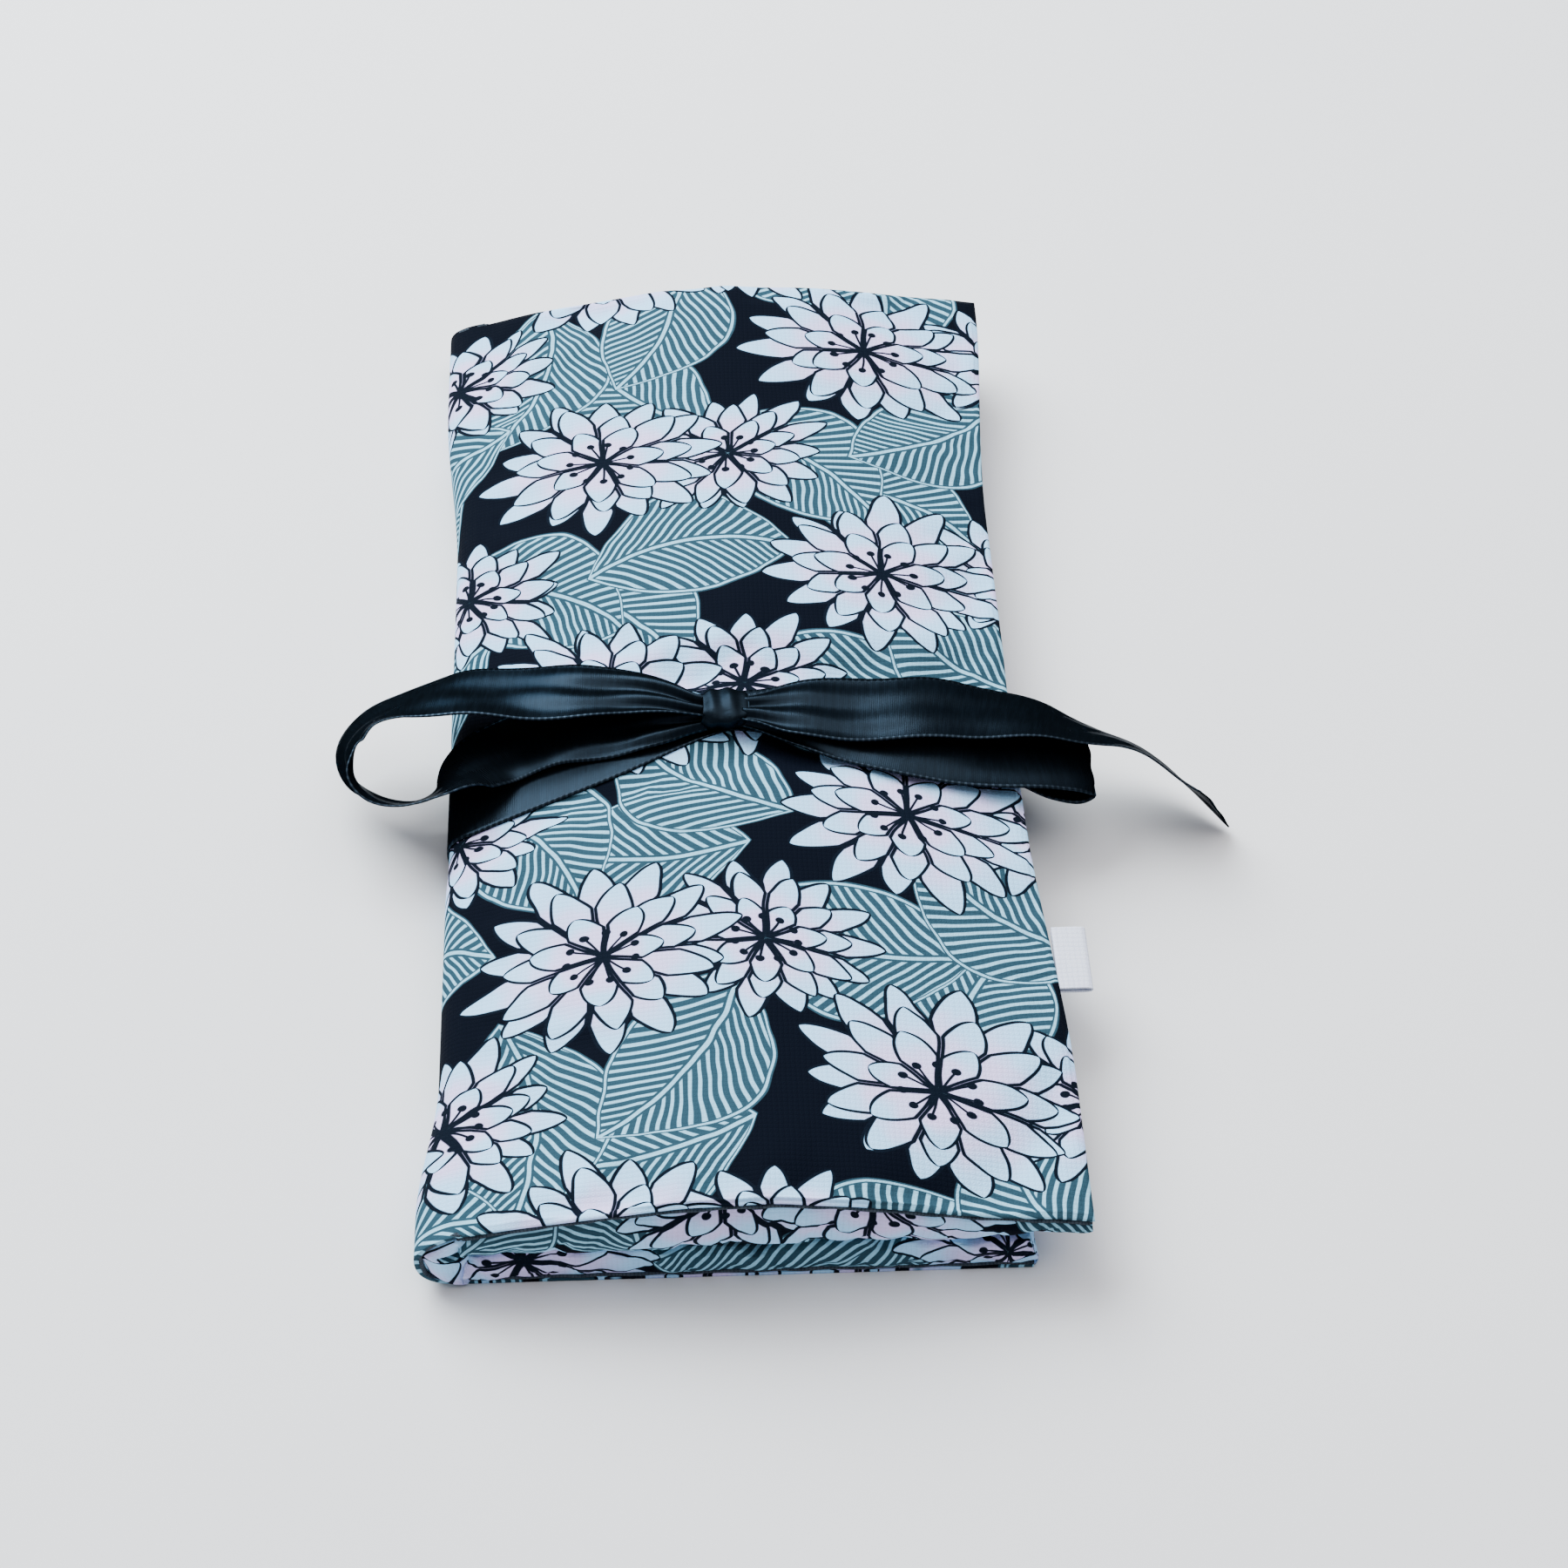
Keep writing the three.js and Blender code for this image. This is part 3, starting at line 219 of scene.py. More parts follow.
def cloth_map(points, corner=(0.0, 0.0)):
    """The flat pattern of a grid: the lengths walked along its middle column and its middle row."""
    u = walked(points[:, points.shape[1] // 2]) + corner[0]
    v = walked(points[points.shape[0] // 2]) + corner[1]
    return np.stack(grid(u, v), axis=-1) / 100


def make_mesh(name, points, faces, material=None, pattern=None, rounded=True):
    """One object from points in millimetres and faces, with its flat pattern as a UV map."""
    mesh = bpy.data.meshes.new(name)
    faces = faces.tolist() if isinstance(faces, np.ndarray) else faces
    mesh.from_pydata((np.asarray(points) * MM).tolist(), [], faces)
    if pattern is not None:
        loops = np.zeros(len(mesh.loops), np.int32)
        mesh.loops.foreach_get("vertex_index", loops)
        layer = mesh.uv_layers.new(name="cloth")
        layer.data.foreach_set("uv", pattern.reshape(-1, 2)[loops].astype(np.float32).ravel())
    mesh.polygons.foreach_set("use_smooth", [rounded] * len(mesh.polygons))
    mesh.validate()
    mesh.update()
    if material is not None:
        mesh.materials.append(material)
    obj = bpy.data.objects.new(name, mesh)
    bpy.context.scene.collection.objects.link(obj)
    return obj


def facing(points, faces, outward):
    """The faces, turned over if on the whole they look away from outward."""
    a, b, c = (points[faces[:, k]] for k in range(3))
    away = float((np.cross(b - a, c - a) @ np.asarray(outward, float)).sum()) < 0
    return faces[:, ::-1] if away else faces


def volume(points, faces):
    """The signed volume inside closed faces: a sixth of the sum of each triangle's corner product."""
    tris = np.concatenate([faces[:, :3], faces[:, [0, 2, 3]]]) if faces.shape[1] == 4 else faces
    a, b, c = (points[tris[:, k]] for k in range(3))
    return float((a * np.cross(b, c)).sum() / 6)


def sheet_mesh(name, points, material, outward, corner=(0.0, 0.0), thickness=FABRIC, offset=-1.0,
               pattern=None, even=True):
    """A layer of cloth over a grid of points. outward is roughly the way its face looks, and even keeps the
    thickness round bends."""
    flat = points.reshape(-1, 3)
    faces = facing(flat, grid_faces(*points.shape[:2]), outward)
    pattern = cloth_map(points, corner) if pattern is None else pattern
    obj = make_mesh(name, flat, faces, material, pattern)
    shell = obj.modifiers.new("thickness", "SOLIDIFY")
    shell.thickness = thickness * MM
    shell.offset = offset
    shell.use_even_offset = even
    return obj


def padded_mesh(name, face, back, material, corner):
    """A closed padded form: its seen face and hidden back are two grids of one shape, joined at the rim."""
    nu, nv = face.shape[:2]
    count = nu * nv
    index = np.arange(count).reshape(nu, nv)
    rim = np.concatenate([index[:, 0], index[-1, 1:], index[-2::-1, -1], index[0, -2:0:-1]])
    after = np.roll(rim, -1)
    sides = np.stack([rim, after, after + count, rim + count], axis=-1)
    faces = np.concatenate([grid_faces(nu, nv), grid_faces(nu, nv, count)[:, ::-1], sides[:, ::-1]])
    flat = np.concatenate([face.reshape(-1, 3), back.reshape(-1, 3)])
    faces = faces[:, ::-1] if volume(flat, faces) < 0 else faces
    pattern = cloth_map(face, corner)
    return make_mesh(name, flat, faces, material, np.concatenate([pattern, pattern]))


def tube_mesh(name, rings, material):
    """A closed form through rings of points, each end closed by a fan to its middle."""
    n, m = rings.shape[:2]
    flat = np.concatenate([rings.reshape(-1, 3), rings[:1].mean(1), rings[-1:].mean(1)])
    k = np.arange(m)
    after = (k + 1) % m
    quads = grid_faces(n, m, ring=True)
    first = np.stack([np.full(m, n * m), after, k], axis=-1)
    last = np.stack([np.full(m, n * m + 1), (n - 1) * m + k, (n - 1) * m + after], axis=-1)
    turn = -1 if volume(flat, np.concatenate([quads[:, :3], quads[:, [0, 2, 3]], first, last])) < 0 else 1
    faces = [face for part in (quads, first, last) for face in part[:, ::turn].tolist()]
    return make_mesh(name, flat, faces, material)


def repeated(one, sides, places):
    """Points and faces of a small closed form, given as rings of so many sides, set down at every place."""
    count = len(one)
    quads = grid_faces(count // sides, sides, ring=True)
    caps = np.array([np.arange(sides)[::-1], np.arange(count - sides, count)])
    turn = -1 if volume(one, quads) < 0 else 1
    form = quads[:, ::turn].tolist() + caps[:, ::turn].tolist()
    faces = [[corner + count * k for corner in face] for k in range(len(places)) for face in form]
    return (one[None] + places[:, None]).reshape(-1, 3), faces


def dress(piece, body, *replaced):
    """Attaches a piece to the body it rides on, where one is given, and hides the solids it stands for."""
    if body is not None:
        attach(piece, body)
    if replaced:
        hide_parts(*replaced)
    return piece


# %% [markdown]
# ## Letting the cloth settle
# Formulas give a surface its place, and Blender's cloth gives it its last unevenness. A grid is grown
# by a percent or two and held where it is sewn or tied. It settles for a few frames without gravity
# under an even pressure, so the spare cloth buckles as it does along a real seam. Each point's
# move is capped, so the piece stays where the formula put it.

# %% Cloth simulation on a grid
CLOTH_RULES = {"quality": 6, "mass": 0.15, "tension_stiffness": 15.0, "compression_stiffness": 15.0,
               "shear_stiffness": 5.0, "bending_stiffness": 0.2, "air_damping": 3.0,
               "vertex_group_mass": "held", "use_pressure": True}
SETTLING_FRAMES = 14
LOST = 20


def settled(points, held, pressure, growth, cap, outward):
    """The grid of points moved by the cloth, each by at most cap millimetres. held is true where it is sewn,
    and a point that the cloth loses stays where it was."""
    flat = points.reshape(-1, 3)
    helper = make_mesh("settling cloth", flat, facing(flat, grid_faces(*points.shape[:2]), outward))
    sewn = np.flatnonzero(held.ravel()).tolist()
    helper.vertex_groups.new(name="held").add(sewn, 1.0, "REPLACE")
    cloth = helper.modifiers.new("cloth", "CLOTH")
    cloth.collision_settings.use_collision = False
    cloth.point_cache.frame_end = SETTLING_FRAMES
    for key, value in CLOTH_RULES.items():
        setattr(cloth.settings, key, value)
    cloth.settings.shrink_min = -growth
    cloth.settings.uniform_pressure_force = pressure
    cloth.settings.effector_weights.gravity = 0.0
    for number in range(1, SETTLING_FRAMES + 1):
        bpy.context.scene.frame_set(number)
    shape = helper.evaluated_get(bpy.context.evaluated_depsgraph_get())
    ended = np.zeros(flat.size, np.float32)
    shape.data.vertices.foreach_get("co", ended)
    mesh = helper.data
    bpy.data.objects.remove(helper)
    bpy.data.meshes.remove(mesh)
    bpy.context.scene.frame_set(1)
    moves = ended.reshape(-1, 3) / MM - flat
    far = np.linalg.norm(moves, axis=1, keepdims=True)
    print("cloth moved by", np.round(np.percentile(far, [50, 90, 100]), 2), "mm, capped at", cap)
    moves *= np.minimum(1, cap / np.maximum(far, 1e-6)) * (far < LOST)
    return points + moves.reshape(points.shape)


def between(moves, shape):
    """The moves of every second row and column spread over a whole grid, as the mean of their neighbours."""
    for count in shape:
        at = np.arange(count) / 2
        low, high = (np.minimum(side(at).astype(int), len(moves) - 1) for side in (np.floor, np.ceil))
        moves = ((moves[low] + moves[high]) / 2).swapaxes(0, 1)
    return moves


# %% [markdown]
# ## Wiring materials
# The finishes are made from small sums. A helper adds one node at a time, and what a node gives can be
# added and multiplied like a number, so a formula reads as it would on paper. What several finishes
# share, such as the weave or a printed blossom, becomes a node group with named inputs, built once.

# %% A helper for node trees
class Value:
    """What a node gives out. Each +, -, * or / with it adds one math node to its tree."""

    def __init__(self, wires, socket):
        self.wires, self.socket = wires, socket

    def __add__(self, other):
        return self.wires.math("ADD", self, other)

    def __sub__(self, other):
        return self.wires.math("SUBTRACT", self, other)

    def __rsub__(self, other):
        return self.wires.math("SUBTRACT", other, self)

    def __mul__(self, other):
        return self.wires.math("MULTIPLY", self, other)

    def __truediv__(self, other):
        return self.wires.math("DIVIDE", self, other)

    __radd__, __rmul__ = __add__, __mul__


class Wiring:
    """Adds nodes to one tree. Most calls return the new node's Value, ready for the next sum."""

    def __init__(self, tree):
        self.tree = tree

    def node(self, kind, **settings):
        made = self.tree.nodes.new(kind)
        for key, value in settings.items():
            setattr(made, key, value)
        return made

    def put(self, socket, value):
        if isinstance(value, Value):
            self.tree.links.new(value.socket, socket)
        else:
            socket.default_value = value

    def fill(self, node, **values):
        """Sets or links inputs by name, an underscore standing for a space."""
        for key, value in values.items():
            self.put(node.inputs[key.replace("_", " ")], value)
        return node

    def fed(self, made, *values, output=0):
        """Sets or links inputs in their order and returns one output."""
        for socket, value in zip(made.inputs, values):
            self.put(socket, value)
        return Value(self, made.outputs[output])

    def math(self, operation, *values):
        return self.fed(self.node("ShaderNodeMath", operation=operation), *values)

    def vector(self, operation, *values):
        return self.fed(self.node("ShaderNodeVectorMath", operation=operation), *values)

    def ease(self, value, low, high):
        """0 below low, 1 above high and an S curve between them."""
        made = self.node("ShaderNodeMapRange", interpolation_type="SMOOTHSTEP")
        return self.fed(made, value, low, high, 0.0, 1.0)

    def blend(self, share, first, second):
        made = self.node("ShaderNodeMix", data_type="RGBA")
        for number, value in ((0, share), (6, first), (7, second)):
            self.put(made.inputs[number], value)
        return Value(self, made.outputs[2])

    def noise(self, place, scale, detail=2.0, roughness=0.5):
        made = self.fill(self.node("ShaderNodeTexNoise"), Vector=place, Scale=scale, Detail=detail,
                         Roughness=roughness)
        return Value(self, made.outputs["Fac"])

    def chance(self, x, y, z):
        """A fixed random value and colour for a cell of the print."""
        made = self.node("ShaderNodeTexWhiteNoise", noise_dimensions="3D")
        self.put(made.inputs["Vector"], self.join(x, y, z))
        return [Value(self, made.outputs[name]) for name in ("Value", "Color")]

    def join(self, x, y, z=0.0):
        return self.fed(self.node("ShaderNodeCombineXYZ"), x, y, z)

    def split(self, place):
        made = self.node("ShaderNodeSeparateXYZ")
        self.put(made.inputs[0], place)
        return [Value(self, socket) for socket in made.outputs]

    def length(self, x, y):
        return self.math("SQRT", x * x + y * y)

    def turned(self, x, y, angle):
        """A place measured along axes that are turned by an angle."""
        c, s = self.math("COSINE", angle), self.math("SINE", angle)
        return x * c + y * s, y * c - x * s

    def outputs(self, made):
        return {socket.name: Value(self, socket) for socket in made.outputs}

    def place(self, group, **values):
        made = self.node("ShaderNodeGroup")
        made.node_tree = group
        return self.outputs(self.fill(made, **values))

    def object_place(self, *scale):
        """A place on the object itself, in metres unless it is scaled."""
        place = Value(self, self.node("ShaderNodeTexCoord").outputs["Object"])
        return self.vector("MULTIPLY", place, scale) if scale else place

    def cloth_place(self):
        """A place on the piece's flat pattern, in millimetres."""
        uv = self.node("ShaderNodeUVMap", uv_map="cloth")
        return self.vector("MULTIPLY", Value(self, uv.outputs[0]), (100.0, 100.0, 0.0))

    def bump(self, shader, height, distance, strength):
        """Raises the surface by a height, distance millimetres for each unit of it."""
        made = self.node("ShaderNodeBump")
        self.fill(made, Strength=strength, Distance=distance * MM, Height=height)
        self.fill(shader, Normal=Value(self, made.outputs[0]))


def node_group(name, inputs, outputs):
    """An empty shader group. inputs are (name, default), a vector where the default is None, and outputs
    are names."""
    tree = bpy.data.node_groups.new(name, "ShaderNodeTree")
    for key, default in inputs:
        kind = "NodeSocketVector" if default is None else "NodeSocketFloat"
        made = tree.interface.new_socket(name=key, in_out="INPUT", socket_type=kind)
        if default is not None:
            made.default_value = default
    for key in outputs:
        tree.interface.new_socket(name=key, in_out="OUTPUT", socket_type="NodeSocketFloat")
    wires = Wiring(tree)
    given = wires.outputs(wires.node("NodeGroupInput"))
    return tree, wires, given, wires.node("NodeGroupOutput")


# %% [markdown]
# ## The printed cotton
# The cloth has pale blossoms with inked petals and striped leaves on a near-black ground. Printing it
# from a picture would need an image, so each motif is a formula instead. A blossom is rings of petals:
# the angle round its middle says which petal a point is in, and the distance to that petal's side says
# whether it is petal, ink line or outside. The motifs repeat on a half-drop lattice, as prints do,
# and each copy has its own turn and petal lengths.

# %% A ring of petals
def petal_ring():
    """Depth is the distance inside a petal's side, in millimetres: the petal's half width there less the
    distance from its middle line, and never more than the distance to the line that it shares with the next
    petal."""
    inputs = [("Radius", 0.0), ("Angle", 0.0), ("Count", 12.0), ("Reach", 18.0), ("Width", 3.0),
              ("Turn", 0.0), ("Seed", 0.0)]
    tree, w, given, out = node_group("petal ring", inputs, ["Depth", "Along"])
    radius, count = given["Radius"], given["Count"]
    turns = given["Angle"] * count * (1 / math.tau) + given["Turn"]
    nearest = w.math("ROUND", turns)
    off = w.math("ABSOLUTE", turns - nearest)
    random, _ = w.chance(w.math("FLOORED_MODULO", nearest, count), given["Seed"], count)
    reach = given["Reach"] * (random * 0.26 + 0.87)
    inside = w.math("MINIMUM", radius / reach, 1.0)
    taper = w.math("POWER", 1.0 - inside, 0.55)
    width = taper * w.math("SQRT", inside) * (given["Width"] * 2.0)
    arc = radius / count * math.tau
    past = w.math("MAXIMUM", radius - reach, 0.0)
    own = width - off * arc - past
    w.fill(out, Depth=w.math("MINIMUM", own, (0.5 - off) * arc), Along=inside)
    return tree


LATTICE = [("Vector", None), ("Cell X", 46.0), ("Cell Y", 58.0), ("Shift X", 0.0), ("Shift Y", 0.0),
           ("Jump", 3.0), ("Seed", 0.0)]


def lattice(w, given):
    """The cell of a half-drop lattice that a point is in, and the point measured from that cell's middle."""
    x, y, _ = w.split(given["Vector"])
    across = (x - given["Shift X"]) / given["Cell X"]
    column = w.math("FLOOR", across)
    up = (y - given["Shift Y"]) / given["Cell Y"] - w.math("FLOORED_MODULO", column, 2.0) * 0.5
    value, colour = w.chance(column, w.math("FLOOR", up), given["Seed"])
    jump_x, jump_y, _ = w.split(colour)
    dx = (w.math("FRACT", across) - 0.5) * given["Cell X"] + (jump_x - 0.5) * given["Jump"]
    dy = (w.math("FRACT", up) - 0.5) * given["Cell Y"] + (jump_y - 0.5) * given["Jump"]
    return dx, dy, value


PETAL_RINGS = ((14.0, 1.0, 0.185, 0.0), (11.0, 0.79, 0.185, 0.4), (7.0, 0.54, 0.17, 0.2))
STAMENS = 11


def blossom_print(ring):
    """Three rings of petals laid over each other, the inner ones on top, and inked stamens in the middle."""
    inputs = LATTICE + [("Size", 20.0), ("Tilt", 0.8)]
    tree, w, given, out = node_group("printed blossom", inputs, ["Cover", "Petal", "Blush"])
    dx, dy, value = lattice(w, given)
    px, py = w.turned(dx, dy, (value - 0.5) * 1.1)
    py = py / given["Tilt"]
    radius, angle = w.length(px, py), w.math("ARCTAN2", py, px)
    size = given["Size"]
    cover = petal = blush = 0.0
    for count, share, width, turn in PETAL_RINGS:
        made = w.place(ring, Radius=radius, Angle=angle, Count=count, Reach=size * share, Width=size * width,
                       Turn=value + turn, Seed=value * 40.0 + count)
        over = w.ease(made["Depth"], -0.12, 0.08)
        petal = petal * (1.0 - over) + w.ease(made["Depth"], 0.58, 0.80) * over
        blush = blush * (1.0 - over) + w.ease(made["Along"], 0.98, 0.50) * over
        cover = w.math("MAXIMUM", cover, over)
    spokes = angle * (STAMENS / math.tau)
    off = w.math("ABSOLUTE", spokes - w.math("ROUND", spokes))
    beside = off * radius * (math.tau / STAMENS)
    tip = radius - size * 0.27
    stalk = w.ease(beside, 0.34, 0.16) * w.ease(tip, 0.1, -0.1)
    inked = w.math("MAXIMUM", w.ease(w.length(beside, tip), 0.92, 0.72), stalk)
    w.fill(out, Cover=cover, Petal=petal * (1.0 - inked), Blush=blush)
    return tree


def leaf_print():
    """A pointed leaf: its half width falls with the square of the distance along it. Slanting stripes run out
    from the middle rib to a pale rim."""
    tree, w, given, out = node_group("printed leaf", LATTICE + [("Length", 17.0), ("Width", 11.0)],
                                     ["Cover", "Stripe"])
    dx, dy, value = lattice(w, given)
    along, beside = w.turned(dx, dy, value * math.tau)
    off = w.math("ABSOLUTE", beside + along * along * 0.012)
    share = along / given["Length"]
    depth = (1.0 - share * share) * given["Width"] - off
    slant = along * 0.62 + off * 0.75 + off * off * -0.012
    wave = w.math("ABSOLUTE", w.math("FRACT", slant / 1.40) - 0.5)
    stripe = w.ease(wave, 0.24, 0.14) * w.ease(depth, 1.10, 1.30) * w.ease(off, 0.75, 0.95)
    rim = w.ease(depth, 0.3, 0.45) * w.ease(depth, 0.95, 0.8)
    rib = w.ease(off, 0.42, 0.3) * w.ease(depth, 0.6, 0.8)
    stripe = w.math("MAXIMUM", stripe, w.math("MAXIMUM", rim, rib))
    w.fill(out, Cover=w.ease(depth, -0.1, 0.1), Stripe=stripe)
    return tree


# %% [markdown]
# ## The weave
# Under the print lies a plain weave. Seen close up the threads pass over and under each other, so the
# height is the sum of two waves that are half a step out of line, with a slow unevenness that keeps it
# from looking machine-drawn. It feeds the bump and, faintly, the colour: painted shade in the print where
# the threads dip, a painted highlight on the raised threads of the dyed cloths, and a real change of tone
# with the unevenness.

# %% Weave
def weave_group():
    """Height of a plain weave at a place in millimetres: the warp's wave where the warp is on top, the weft's
    elsewhere."""
    tree, w, given, out = node_group("plain weave", [("Vector", None), ("Pitch", 0.5)], ["Height", "Uneven"])
    shift = (w.noise(given["Vector"], 0.35, 2.0) - 0.5) * 0.5
    x, y, _ = w.split(given["Vector"])
    u, v = ((axis + shift) / given["Pitch"] * math.pi for axis in (x, y))
    warp = w.math("ABSOLUTE", w.math("SINE", u)) * (w.math("COSINE", v) * 0.5 + 0.5)
    weft = w.math("ABSOLUTE", w.math("SINE", v)) * (w.math("COSINE", u) * -0.5 + 0.5)
    uneven = w.noise(w.vector("MULTIPLY", given["Vector"], (1.0, 0.12, 1.0)), 1.2, 3.0)
    w.fill(out, Height=w.math("MAXIMUM", warp, weft), Uneven=uneven)
    return tree


def new_material(name, colour, roughness, metallic=0.0):
    """A material with one Principled shader, and a helper for its tree."""
    material = bpy.data.materials.new(name)
    material.use_nodes = True
    material.diffuse_color = (*colour, 1.0)
    w, shader = Wiring(material.node_tree), material.node_tree.nodes["Principled BSDF"]
    w.fill(shader, Base_Color=(*colour, 1.0), Roughness=roughness, Metallic=metallic)
    return material, w, shader


# %% Printed cotton
WEAVE = weave_group()
BLOSSOM = blossom_print(petal_ring())
LEAF = leaf_print()
INK = (0.003, 0.006, 0.012, 1.0)
GROUND = (0.0020, 0.0034, 0.0075, 1.0)
PETAL = (0.38, 0.70, 1.00, 1.0)
BLUSH = (0.67, 0.57, 0.90, 1.0)
LEAF_DARK = (0.022, 0.058, 0.082, 1.0)
LEAF_PALE = (0.28, 0.57, 0.73, 1.0)
LEAVES = ((-6.0, 18.0, 19.0, 14.0, 21.0), (11.0, 27.0, 21.0, 14.5, 3.0), (37.0, 7.0, 20.0, 13.5, 8.0))
BLOSSOMS = ((26.0, 29.0, 19.5, 5.0), (0.0, 0.0, 23.0, 13.0))


def printed_cotton(name):
    """Leaves over the ground, blossoms over the leaves, and the weave through all of it."""
    material, w, shader = new_material(name, (0.36, 0.43, 0.49), 0.85)
    place = w.cloth_place()
    wander = w.noise(place, 0.12, 1.0)
    bent = w.vector("ADD", place, w.join((wander - 0.5) * 2.0, 0.0))
    cell = {"Vector": bent, "Cell_X": 52.0, "Cell_Y": 58.0, "Jump": 3.0}
    colour = GROUND
    for shift_x, shift_y, length, width, seed in LEAVES:
        leaf = w.place(LEAF, **cell, Shift_X=shift_x, Shift_Y=shift_y, Seed=seed, Length=length, Width=width)
        colour = w.blend(leaf["Cover"], colour, w.blend(leaf["Stripe"], LEAF_DARK, LEAF_PALE))
    petals = 0.0
    for shift_x, shift_y, size, seed in BLOSSOMS:
        made = w.place(BLOSSOM, **cell, Shift_X=shift_x, Shift_Y=shift_y, Seed=seed, Size=size, Tilt=0.8)
        warm = w.ease(made["Blush"] * 0.70 + w.noise(place, 0.22, 2.0) * 0.6, 0.38, 1.15)
        colour = w.blend(made["Cover"], colour, INK)
        colour = w.blend(made["Petal"], colour, w.blend(warm, PETAL, BLUSH))
        petals = w.math("MAXIMUM", petals, made["Petal"])
    thread = w.place(WEAVE, Vector=place, Pitch=0.42)
    # Painted shade: the print darkens where the threads dip; the slow unevenness adds a real, random change
    # of tone.
    shade = w.math("MINIMUM", (thread["Height"] + thread["Uneven"]) * 0.16 + 0.84, 1.0)
    toned = w.vector("MULTIPLY", colour, w.join(shade, shade, shade))
    w.fill(shader, Base_Color=toned, Roughness=petals * 0.08 + 0.80, Specular_IOR_Level=0.025)
    w.bump(shader, thread["Height"] + thread["Uneven"] * 0.5, 0.10, 0.55)
    return material


PRINT = printed_cotton("printed cotton")
print("printed cotton has", len(PRINT.node_tree.nodes), "nodes")

# %% [markdown]
# ## Satin, lining, tape and metal
# Satin has long threads on its face, so its light streaks across the ribbon and its colour lifts to a
# blue-grey there. A noise that is stretched across the width breaks up the gloss, and a fine rib is
# the weft. The plain lining and the zip tape are the same weave at two scales, and the metal parts
# have a brushed plating that dulls in small spots.

# %% Satin ribbon
SATIN_DARK = (0.0078, 0.0120, 0.0170, 1.0)
SATIN_LIGHT = (0.0096, 0.0155, 0.0226, 1.0)
SATIN_EDGE = (0.080, 0.095, 0.110, 1.0)
PICOT = (0.050, 0.072, 0.098, 1.0)
RIB_PITCH, PICOT_PITCH = 0.34, 1.1


def satin(name):
    """The threads act as small dark mirrors, so the shader is mostly metallic with a near-black tint at every
    angle. The rest scatters light without a gloss of its own, so no fold goes fully black."""
    material, w, shader = new_material(name, (0.006, 0.011, 0.018), 0.3, 0.85)
    w.fill(shader, Specular_IOR_Level=0.0, Specular_Tint=SATIN_EDGE)
    return material, w, shader


def satin_ribbon():
    """Satin on a flat pattern: streaks across the ribbon, the weft's rib and a row of picots on each edge."""
    material, w, shader = satin("satin ribbon")
    place = w.cloth_place()
    streak = w.noise(w.vector("MULTIPLY", place, (1.0, 0.14, 1.0)), 1.4, 4.0, 0.6)
    broad = w.noise(w.vector("MULTIPLY", place, (1.0, 0.35, 1.0)), 0.22, 2.0)
    x, y, _ = w.split(place)
    rib = w.math("ABSOLUTE", w.math("SINE", x * (math.pi / RIB_PITCH)))
    half = RIBBON_WIDTH / 2
    edge = w.ease(w.math("ABSOLUTE", y - half), half - 0.75, half - 0.55)
    picot = edge * w.ease(w.math("SINE", x * (math.tau / PICOT_PITCH)), 0.1, 0.6)
    tone = w.blend(w.ease(streak, 0.35, 0.75), SATIN_DARK, SATIN_LIGHT)
    w.fill(shader, Base_Color=w.blend(picot * 0.3, tone, PICOT),
           Roughness=streak * 0.14 + 0.22 + broad * 0.06)
    w.bump(shader, rib * 0.5 + (streak + edge), 0.06, 0.4)
    return material


def knot_satin():
    """The same satin on a closed form, streaked along Y, the way the knot's ribbon runs."""
    material, w, shader = satin("satin of the knot")
    place = w.object_place(1000.0, 1000.0, 1000.0)
    streak = w.noise(w.vector("MULTIPLY", place, (0.3, 1.4, 1.0)), 1.0, 4.0, 0.6)
    tone = w.blend(w.ease(streak, 0.50, 0.95), SATIN_DARK, SATIN_LIGHT)
    w.fill(shader, Base_Color=tone, Roughness=streak * 0.12 + 0.34)
    w.bump(shader, streak, 0.08, 0.5)
    return material


# %% Dyed cloth, metal and teeth
def dyed_cloth(name, colour, light, pitch, roughness=0.88, on_object=False):
    """A plain dyed weave with a painted highlight on the raised threads, light being the colour there, and a
    lighter tone where the yarn is uneven. A closed form has no flat pattern, so there the weave follows the
    place on the object."""
    material, w, shader = new_material(name, colour, roughness)
    if on_object:
        x, y, z = w.split(w.object_place(1000.0, 1000.0, 1000.0))
        place = w.join(x + z, y)
    else:
        place = w.cloth_place()
    thread = w.place(WEAVE, Vector=place, Pitch=pitch)
    rise_highlight_and_slub = thread["Height"] * 0.6 + thread["Uneven"] * 0.7
    # Painted highlight: the colour lifts towards light on the raised threads, and at random where the yarn is
    # uneven.
    tone = w.blend(w.ease(rise_highlight_and_slub, 0.2, 1.1), (*colour, 1.0), (*light, 1.0))
    w.fill(shader, Base_Color=tone, Roughness=thread["Uneven"] * 0.1 + (roughness - 0.05), Sheen_Weight=0.03,
           Specular_IOR_Level=0.12)
    w.bump(shader, rise_highlight_and_slub, 0.12, 0.6)
    return material


def plated_metal(name, colour, spot):
    """Brushed plating that is duller, and spotted, where it has worn."""
    material, w, shader = new_material(name, colour, 0.3, 1.0)
    place = w.object_place()
    grain = w.noise(w.vector("MULTIPLY", place, (400.0, 4000.0, 400.0)), 1.0, 3.0)
    dull = w.ease(w.noise(place, 260.0, 4.0, 0.65), 0.5, 0.8)
    w.fill(shader, Base_Color=w.blend(dull * 0.5, (*colour, 1.0), (*spot, 1.0)),
           Roughness=grain * 0.10 + (dull * 0.12 + 0.42))
    w.bump(shader, grain, 0.02, 0.3)
    return material


